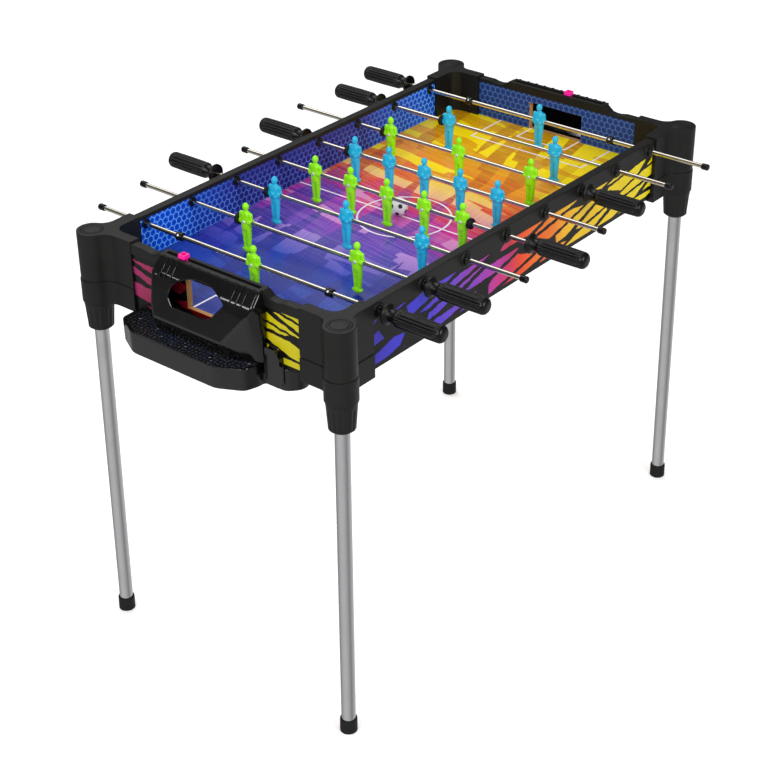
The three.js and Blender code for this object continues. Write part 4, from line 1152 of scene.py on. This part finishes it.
def buildRod(name):
    side, y = rodSide(name), rodPlaceY(name)
    team = name.split("_")[0]
    low, high = boxOf(name + "_rod")
    free = low.x if side > 0 else high.x
    held = high.x if side > 0 else low.x
    length = abs(held - free)
    bar, capLength = rodLook["bar"], rodLook["capLength"]
    shape = bmesh.new()
    turnX(shape, [(1.5, bar), (length, bar)], (free, y, rodZ), 32, side)
    makePiece("bar_" + name, shape, name, ["rodChrome"], [name + "_rod"], 40)
    shape = bmesh.new()
    capRadius = rodLook["capRadius"]
    turnX(shape, soften([(0.2, 0.8), (0, 2.5), (0.5, capRadius - 1), (2.2, capRadius),
                         (capLength - 1, capRadius - 0.2), (capLength, capRadius - 0.9),
                         (capLength, bar + 0.1)], 0.8, 3), (free, y, rodZ),
          40, side)
    makePiece("endCap_" + name, shape, name, ["bushing"], (), 32)

    places = figurePlaces(name)
    for i, x in enumerate(places):
        matrix = Matrix.Translation(Vector((x, y, rodZ)) * mm)
        if team == "blue":
            matrix = matrix @ halfTurn
        copyPiece("player_" + name + "_" + str(i + 1), figureMeshes[team], matrix, name)

    middle = (places[0] + places[-1]) / 2
    rings = stopRings[name]
    for i, place in enumerate(rings["collars"]):
        shape = bmesh.new()
        x = middle + place
        turnX(shape, soften([(-6, bar + 0.1), (-6, 7.5), (-1.4, 7.5), (-1.2, 7.0), (1.2, 7.0), (1.4, 7.5),
                             (6, 7.5), (6, bar + 0.1)], 0.6, 2), (x, y, rodZ), 40, 1, ring=True)
        screw = bmesh.new()
        turnX(screw, [(3, 2.2), (7.4, 2.2), (7.9, 1.7), (7.9, 1.1), (7.2, 0.9)], (0, 0, 0), 20, paint=1)
        tilt = Matrix.Rotation(2.5, 4, "X") @ Matrix.Rotation(math.pi / 2, 4, "Z")
        addShape(shape, screw, Matrix.Translation((x, y, rodZ)) @ tilt)
        makePiece("stopRing_" + name + "_" + str(i + 1), shape, name, ["bushing", "screwSteel"],
                  (), 32)
    if rings["bumper"]:
        outermost = max(places) if rings["bumper"] > 0 else min(places)
        x = outermost + rings["bumper"] * rodLook["ringOut"]
        shape = bmesh.new()
        turnX(shape, soften([(-4, bar + 0.1), (-4, 9.2), (-2.4, 10), (-0.5, 10), (0, 9.4), (0.5, 10),
                             (2.4, 10), (4, 9.2), (4, bar + 0.1)], 0.7, 2), (x, y, rodZ), 48, 1, ring=True)
        makePiece("rubberRing_" + name, shape, name, ["footRubber"], (), 32)

    low, high = boxOf(name + "_handle")
    start = low.x if side > 0 else high.x
    matrix = Matrix.Translation(Vector((start, y, rodZ)) * mm)
    if side < 0:
        matrix = matrix @ halfTurn
    copyPiece("grip_" + name, handleMesh, matrix, name, [name + "_handle"])
    buildBushing("turningBushing_" + name, side, y, name + "_turn", [name + "_bushing"])
    buildBushing("plainBushing_" + name, -side, y, "table", ())


for name in rodNames:
    buildRod(name)
print("rods built:", len(rodNames))


# ---- goal boxes

housing = {"wall": 3.0, "crease": 781.0, "creaseOut": 29.0, "flankTop": 772.0, "sideOut": 16.0,
           "bulge": 8.0, "faceOut": 47.0, "faceFoot": 706.0, "kneeOut": 42.0, "knee": 730.0, "facet": 54.0,
           "facetOut": 37.0, "facetTop": 764.0, "plinthOut": 30.0, "edge": 5.0, "windowMiddle": -3.0,
           "windowHalf": 66.0, "sill": {-1: 734.0, 1: 746.0}, "spring": 752.0, "head": 790.0,
           "ribs": (66, 78, 90), "ribWidth": 2.4}


def housingPoints(shrink):
    look = housing
    wide = endRail["raised"] - shrink
    back = outerY + gap if shrink == 0 else innerY + 4
    foot = boxOf("goal_housing_far")[0].z if shrink == 0 else look["faceFoot"] - 40
    top = railHigh.z + endRail["rise"] - 2 - shrink * 1.4
    flank = look["flankTop"]
    facet = endRail["raised"] - look["facet"] - shrink
    out = lambda distance: outerY + distance - shrink
    return [(-wide, back, top), (wide, back, top), (-wide, out(9), top), (wide, out(9), top),
            (-wide - 2, out(look["creaseOut"]), look["crease"] - shrink / 2),
            (wide + 2, out(look["creaseOut"]), look["crease"] - shrink / 2),
            (-wide - look["bulge"], back, flank), (wide + look["bulge"], back, flank),
            (-wide - look["bulge"], out(look["sideOut"]), flank - 4),
            (wide + look["bulge"], out(look["sideOut"]), flank - 4),
            (-wide - look["bulge"] + 2, back, foot), (wide + look["bulge"] - 3, back, foot),
            (-wide + 4, out(look["kneeOut"]), look["knee"]),
            (-wide + 12, out(look["faceOut"]), look["faceFoot"]),
            (facet, out(look["faceOut"]), look["faceFoot"]),
            (wide - 5, out(look["facetOut"]), look["facetTop"]),
            (-wide + 2, out(look["plinthOut"]), foot), (facet - 2, out(look["plinthOut"]), foot),
            (wide - look["bulge"], out(look["sideOut"] - 2), foot)]


def hullShape(points, edge=0.0):
    shape = bmesh.new()
    verts = [shape.verts.new(point) for point in points]
    made = bmesh.ops.convex_hull(shape, input=verts)
    loose = [item for item in made["geom_interior"] + made["geom_unused"]
             if isinstance(item, bmesh.types.BMVert)]
    bmesh.ops.delete(shape, geom=list(set(loose)), context="VERTS")
    bmesh.ops.dissolve_limit(shape, angle_limit=math.radians(4), verts=shape.verts, edges=shape.edges)
    if edge:
        sharp = [e for e in shape.edges if len(e.link_faces) == 2 and e.calc_face_angle(0) > math.radians(9)]
        bmesh.ops.bevel(shape, geom=sharp, offset=edge, segments=5, profile=0.5, affect="EDGES",
                        clamp_overlap=True)
    return shape


def windowOutline(end, grow):
    look = housing
    sill = look["sill"][end]
    half = look["windowHalf"]
    points = [(x + look["windowMiddle"], z) for x, z in
              ((half * math.cos(a), look["spring"] + (look["head"] - look["spring"]) * math.sin(a))
               for a in (math.pi * (0.16 + 0.88 * i / 20) for i in range(21)))]
    outline = points + [(-half * 0.88, sill), (half * 0.24, sill), (half * 0.4, sill + 4)]
    return inset(soften(outline, 3, closed=True), -grow)


def turnToEnd(shape, end):
    # what is made for the near end is turned round for the far one; gives the end's name
    if end > 0:
        bmesh.ops.transform(shape, matrix=Matrix.Rotation(math.pi, 4, "Z"), verts=shape.verts)
    return "far" if end > 0 else "near"


def buildHousing(end):
    look = housing
    near = lambda points: [(x, -y, z) for x, y, z in points]
    piece = rawObject("housing", hullShape(near(housingPoints(0)), look["edge"]), ["glossMoulding"])
    carve(piece, hullShape(near(housingPoints(look["wall"]))))
    tools = bmesh.new()
    front = outerY + look["faceOut"] + 4
    loft(tools, [[(x, -y, z) for x, z in windowOutline(end, 0)] for y in (outerY + 6, front)])
    carve(piece, tools)
    tools = bmesh.new()
    raised = endRail["raised"] + 1
    blockBetween(tools, (-raised, -outerY - endRail["out"] - gap, panelHigh.z),
                 (raised, -outerY + 2, cornerHigh.z + 12))
    blockBetween(tools, (-wingX, -outerY - 2.8, panelHigh.z - 12.3), (wingX, -outerY + 2, panelHigh.z - 0.01))
    carve(piece, tools)
    whole = reopen(piece)
    # the window's rim
    rimSteps = ((1.8, 0.3), (0.2, 1.0), (-0.6, 0.2), (-0.6, -2.5), (1.0, -2.5))
    rim = [(windowOutline(end, grow), lift) for grow, lift in rimSteps]

    def faceAt(z):
        # how far out the front face stands at a height
        t = (look["crease"] - z) / (look["crease"] - look["faceFoot"])
        if t < 0:
            slope = (look["creaseOut"] - 9) / (railHigh.z + 7 - look["crease"])
            return look["creaseOut"] + (look["crease"] - z) * slope
        return look["creaseOut"] + (look["faceOut"] - look["creaseOut"]) * t

    loft(whole, [[(x, -outerY - faceAt(z) - lift, z) for x, z in outline] for outline, lift in rim],
         closed=True)
    topEdge = railHigh.z + endRail["rise"] - 2
    for middle in look["ribs"]:
        for x in (-middle, middle):
            half = look["ribWidth"] / 2
            path = [(9.6, topEdge + 0.8), (18, topEdge - 6.6), (27, look["crease"] + 3.6),
                    (30.6, look["crease"] + 0.4), (31.8, look["crease"] - 5),
                    (29.5, look["crease"] - 7), (24, look["crease"] - 2), (9.6, topEdge - 6)]
            outline = soften(path, 1.5, closed=True)[::-1]
            roundedSlab(whole, outline, x - half, x + half, 0.7, 2, place=lambda a, b, c: (c, -outerY - a, b))
    word = turnToEnd(whole, end)
    makePiece("goalBox_" + word, whole, "table", ["glossMoulding"],
              ["goal_housing_" + word], 28)


tray = {"deckOut": 63.0, "back": 30.0, "rim": 3.2, "recess": 1.4, "edge": 2.4,
        "well": (-94.0, 40.0, 25.0, 10.0), "trough": (-140.0, 156.0), "floor": 4.0,
        "bracket": (119.0, 147.0), "bracketTop": 706.0, "bracketOut": 11.0}


def buildTray(end):
    low, high = boxOf("ball_tray_near")
    base, top = low.z, boxOf("goal_housing_far")[0].z - gap
    left, front, back = -wingX + 1, -outerY - tray["deckOut"], -innerY + tray["back"]
    outline = [(left, -outerY + 18), (left, front + 26), (left + 48, front), (52, front), (98, front + 23),
               (106, front + 49), (106, -outerY), (150, -outerY), (168, -innerY + 8), (168, back),
               (-150, back)]
    rounded = soften(outline, 9, 5, closed=True)
    rim = tray["rim"]
    shape = bmesh.new()
    edge = tray["edge"]
    steps = [(0.6 + edge, base), (0.6 + edge * 0.3, base + edge * 0.3), (0.6, base + edge), (0.0, top - 6),
             (0.0, top - edge * 0.6), (edge * 0.25, top - edge * 0.15), (edge * 0.7, top), (rim, top),
             (rim + 0.5, top - tray["recess"])]
    loft(shape, [[(x, y, z) for x, y in inset(rounded, d)] for d, z in steps])
    piece = rawObject("tray", shape, ["glossMoulding", "deck"])
    tools = bmesh.new()
    x0, x1, out, inward = tray["well"]
    floor = base + tray["floor"]
    blockBetween(tools, (x0, -outerY - out, floor), (x1, -innerY + inward, top + 2))
    carve(piece, tools)
    tools = bmesh.new()
    blockBetween(tools, (tray["trough"][0], -innerY + 2, floor),
                 (tray["trough"][1], back - tray["floor"], top + 2))
    carve(piece, tools)
    deck = (top - tray["recess"]) * mm
    for face in piece.data.polygons:
        if abs(face.center.z - deck) < 0.0002 and face.normal.z > 0.9:
            face.material_index = 1
    whole = reopen(piece)
    x0, x1 = tray["bracket"]
    plate = [(x0, base + 12), (x1, base + 12), (x1, tray["bracketTop"] - 12), (x1 - 9, tray["bracketTop"]),
             (x0, tray["bracketTop"])]
    outer = -outerY - tray["bracketOut"]
    roundedSlab(whole, soften(plate, 3, 4, closed=True)[::-1], outerY + gap, -outer, 1.6, 3,
                place=lambda a, b, c: (a, -c, b))
    word = turnToEnd(whole, end)
    makePiece("tray_" + word, whole, "table", ["glossMoulding", "deck"],
              ["ball_tray_" + word], 28)


def buildSlider(word):
    node = "score_slider_" + word
    low, high = boxOf(node)
    centre = (low + high) / 2
    half = (high.x - low.x) / 2
    square = [(-half, -half), (half, -half), (half, half), (-half, half)]
    pocket = half * 0.52
    base = railHigh.z + endRail["rise"] + gap
    outline = soften(square, 2.2, 4, closed=True)
    hole = soften([(x / half * pocket, y / half * pocket) for x, y in square], 1.0, 4, closed=True)
    shape = bmesh.new()
    rings = [(inset(outline, 0.5), base), (outline, base + 0.6), (inset(outline, 0.3), high.z - 1.2),
             (inset(outline, 0.9), high.z - 0.2), (inset(outline, 1.4), high.z),
             (inset(hole, -0.7), high.z), (hole, high.z - 0.7), (hole, base + 3)]
    loft(shape, [[(centre.x + x, centre.y + y, z) for x, y in ring] for ring, z in rings])
    inner = endRail["slotWidth"] / 2 - gap
    blockBetween(shape, (centre.x - half + 2, centre.y - inner, low.z),
                 (centre.x + half - 2, centre.y + inner, base + 0.4))
    makePiece("scoreSlider_" + word, shape, "score_" + word, ["scorePink"], [node], 30)


for end in (-1, 1):
    buildHousing(end)
    buildTray(end)
for word in ("near", "far"):
    buildSlider(word)
print("goal boxes, trays and sliders built")


# ---- ball

ballLook = {"seam": 0.4, "patch": 0.055, "turn": (0.5, 0.35, 0.9)}


def buildBall():
    centre = middleOf("ball")
    radius = centre.z - fieldTop - gap
    golden = (1 + math.sqrt(5)) / 2
    corners = [Vector(p).normalized() for a in (-1, 1) for b in (-golden, golden)
               for p in ((0, a, b), (a, b, 0), (b, 0, a))]
    edge = min((a - b).length for i, a in enumerate(corners) for b in corners[i + 1:])
    faces = []
    for i, a in enumerate(corners):
        for j in range(i + 1, 12):
            for k in range(j + 1, 12):
                b, c = corners[j], corners[k]
                if max((a - b).length, (b - c).length, (a - c).length) < edge * 1.05:
                    faces.append((a + b + c).normalized())
    turn = Matrix.Rotation(ballLook["turn"][0], 3, "X") @ Matrix.Rotation(ballLook["turn"][1], 3, "Y")
    turn = turn @ Matrix.Rotation(ballLook["turn"][2], 3, "Z")
    patches = [(turn @ c, 0.0) for c in corners] + [(turn @ f, ballLook["patch"]) for f in faces]

    def scores(point):
        return sorted(((point.dot(centreOf) + extra, i) for i, (centreOf, extra) in enumerate(patches)),
                      reverse=True)[:2]

    shape = bmesh.new()
    bmesh.ops.create_icosphere(shape, subdivisions=6, radius=1)
    for vert in shape.verts:
        direction = vert.co.normalized()
        best, second = scores(direction)
        groove = math.exp(-((best[0] - second[0]) / 0.016) ** 2)
        vert.co = direction * (radius - ballLook["seam"] * groove)
    for face in shape.faces:
        best, second = scores(face.calc_center_median().normalized())
        face.material_index = 1 if best[1] < 12 else 0
    bmesh.ops.translate(shape, vec=centre, verts=shape.verts)
    makePiece("matchBall", shape, "ball", ["ballWhite", "ballBlack"], ["ball"], 80)


buildBall()
print("ball built")


# ---- floor, lights and camera

floorMesh = bpy.data.meshes.new("floor")
reach = 12.0
floorMesh.from_pydata([(-reach, -reach, 0), (reach, -reach, 0), (reach, reach, 0), (-reach, reach, 0)], [],
                      [(0, 1, 2, 3)])
floor = bpy.data.objects.new("floor", floorMesh)
scene.collection.objects.link(floor)
floorMaterial = startMaterial("studioFloor", Base_Color=(0.93, 0.93, 0.93, 1), Roughness=0.7,
                              Emission_Color=(1, 1, 1, 1), Emission_Strength=0.2)[0]
floorMesh.materials.append(floorMaterial)
floor.visible_glossy = False

studio = {"sky": 1.0, "roof": 0.7, "mirror": 0.13, "ground": 0.62}


def buildWorld():
    # a white room; what shines sees a darker one, with light only from the ground in front
    world = bpy.data.worlds.new("studio")
    world.use_nodes = True
    tree = world.node_tree
    direction = addNode(tree, "TexCoord").outputs["Generated"]
    z = addNode(tree, "SeparateXYZ", direction).outputs[2]
    room = colorRamp(tree, z, [(0.0, (1, 1, 1, 1)), (0.45, (0.97, 0.98, 1, 1)),
                               (0.8, (studio["roof"],) * 3 + (1,))])
    ahead = calc(tree, "ABSOLUTE", vectorCalc(tree, "DOT_PRODUCT", direction, (0.1, -1.0, 0.0), output=1))
    front = addNode(tree, "MapRange", ahead, 0.0, 0.8, 0.3, 1.0).outputs[0]
    low = calc(tree, "MULTIPLY", band(tree, z, -0.12, -0.4), front)
    seen = calc(tree, "ADD", studio["mirror"], calc(tree, "MULTIPLY", low, studio["ground"]))
    rays = addNode(tree, "LightPath").outputs
    shade = blendColors(tree, rays["Is Glossy Ray"], room,
                        addNode(tree, "CombineXYZ", seen, seen, seen).outputs[0])
    shade = blendColors(tree, rays["Is Camera Ray"], shade, (1, 1, 1, 1))
    background = tree.nodes["Background"]
    feed(tree, background.inputs[0], shade)
    background.inputs[1].default_value = studio["sky"]
    scene.world = world


buildWorld()
# place, aim, size and watts of the soft boxes
softBoxes = [dict(name="top", at=(-1.6, 0.75, 3.0), aim=(0, 0, 0.7), size=(2.4, 2.2), watts=28),
             dict(name="front", at=(0.6, -3.2, 2.7), aim=(0, 0, 0.7), size=(1.8, 1.0), watts=46),
             dict(name="edge", at=(-1.9, -2.66, 1.95), aim=(0, -0.4, 0.7), size=(1.4, 0.22), watts=16,
                  glossOnly=True),
             dict(name="ribs", at=(-0.2, -2.5, 3.1), aim=(0, -0.5, 0.7), size=(0.6, 0.5), watts=14,
                  glossOnly=True),
             dict(name="side", at=(3.0, -0.6, 2.0), aim=(0, 0, 0.7), size=(0.9, 1.8), watts=40)]
glossParts = bpy.data.collections.new("glossParts")
for piece in scene.objects:
    if piece.name.startswith(("goalBox", "tray", "rail_", "grip_", "turningBushing", "plainBushing",
                              "stopRing")):
        glossParts.objects.link(piece)
for box in softBoxes:
    light = bpy.data.lights.new(box["name"], "AREA")
    light.shape = "RECTANGLE"
    light.size, light.size_y = box["size"]
    light.energy = box["watts"]
    lamp = bpy.data.objects.new(box["name"], light)
    lamp.location = box["at"]
    lamp.rotation_mode = "QUATERNION"
    lamp.rotation_quaternion = (Vector(box["aim"]) - Vector(box["at"])).to_track_quat("-Z", "Y")
    scene.collection.objects.link(lamp)
    if box.get("glossOnly"):
        lamp.light_linking.receiver_collection = glossParts

view = {"azimuth": 39.588, "elevation": 30.602, "roll": -0.79, "aim": (0.0896, -0.1770, 0.4788),
        "distance": 3.1014, "lens": 81.49, "sensor": 36.0}


def buildCamera():
    a, e, r = (math.radians(view[key]) for key in ("azimuth", "elevation", "roll"))
    back = Vector((math.sin(a) * math.cos(e), -math.cos(a) * math.cos(e), math.sin(e)))
    right = (-back).cross(Vector((0, 0, 1))).normalized()
    up = right.cross(-back)
    tiltedRight = right * math.cos(r) + up * math.sin(r)
    tiltedUp = up * math.cos(r) - right * math.sin(r)
    data = bpy.data.cameras.new("camera")
    data.lens, data.sensor_width = view["lens"], view["sensor"]
    camera = bpy.data.objects.new("camera", data)
    turn = Matrix((tiltedRight, tiltedUp, back)).transposed().to_4x4()
    camera.matrix_world = Matrix.Translation(Vector(view["aim"]) + back * view["distance"]) @ turn
    scene.collection.objects.link(camera)
    scene.camera = camera


buildCamera()
scene.view_settings.view_transform = "Standard"
print("studio ready")
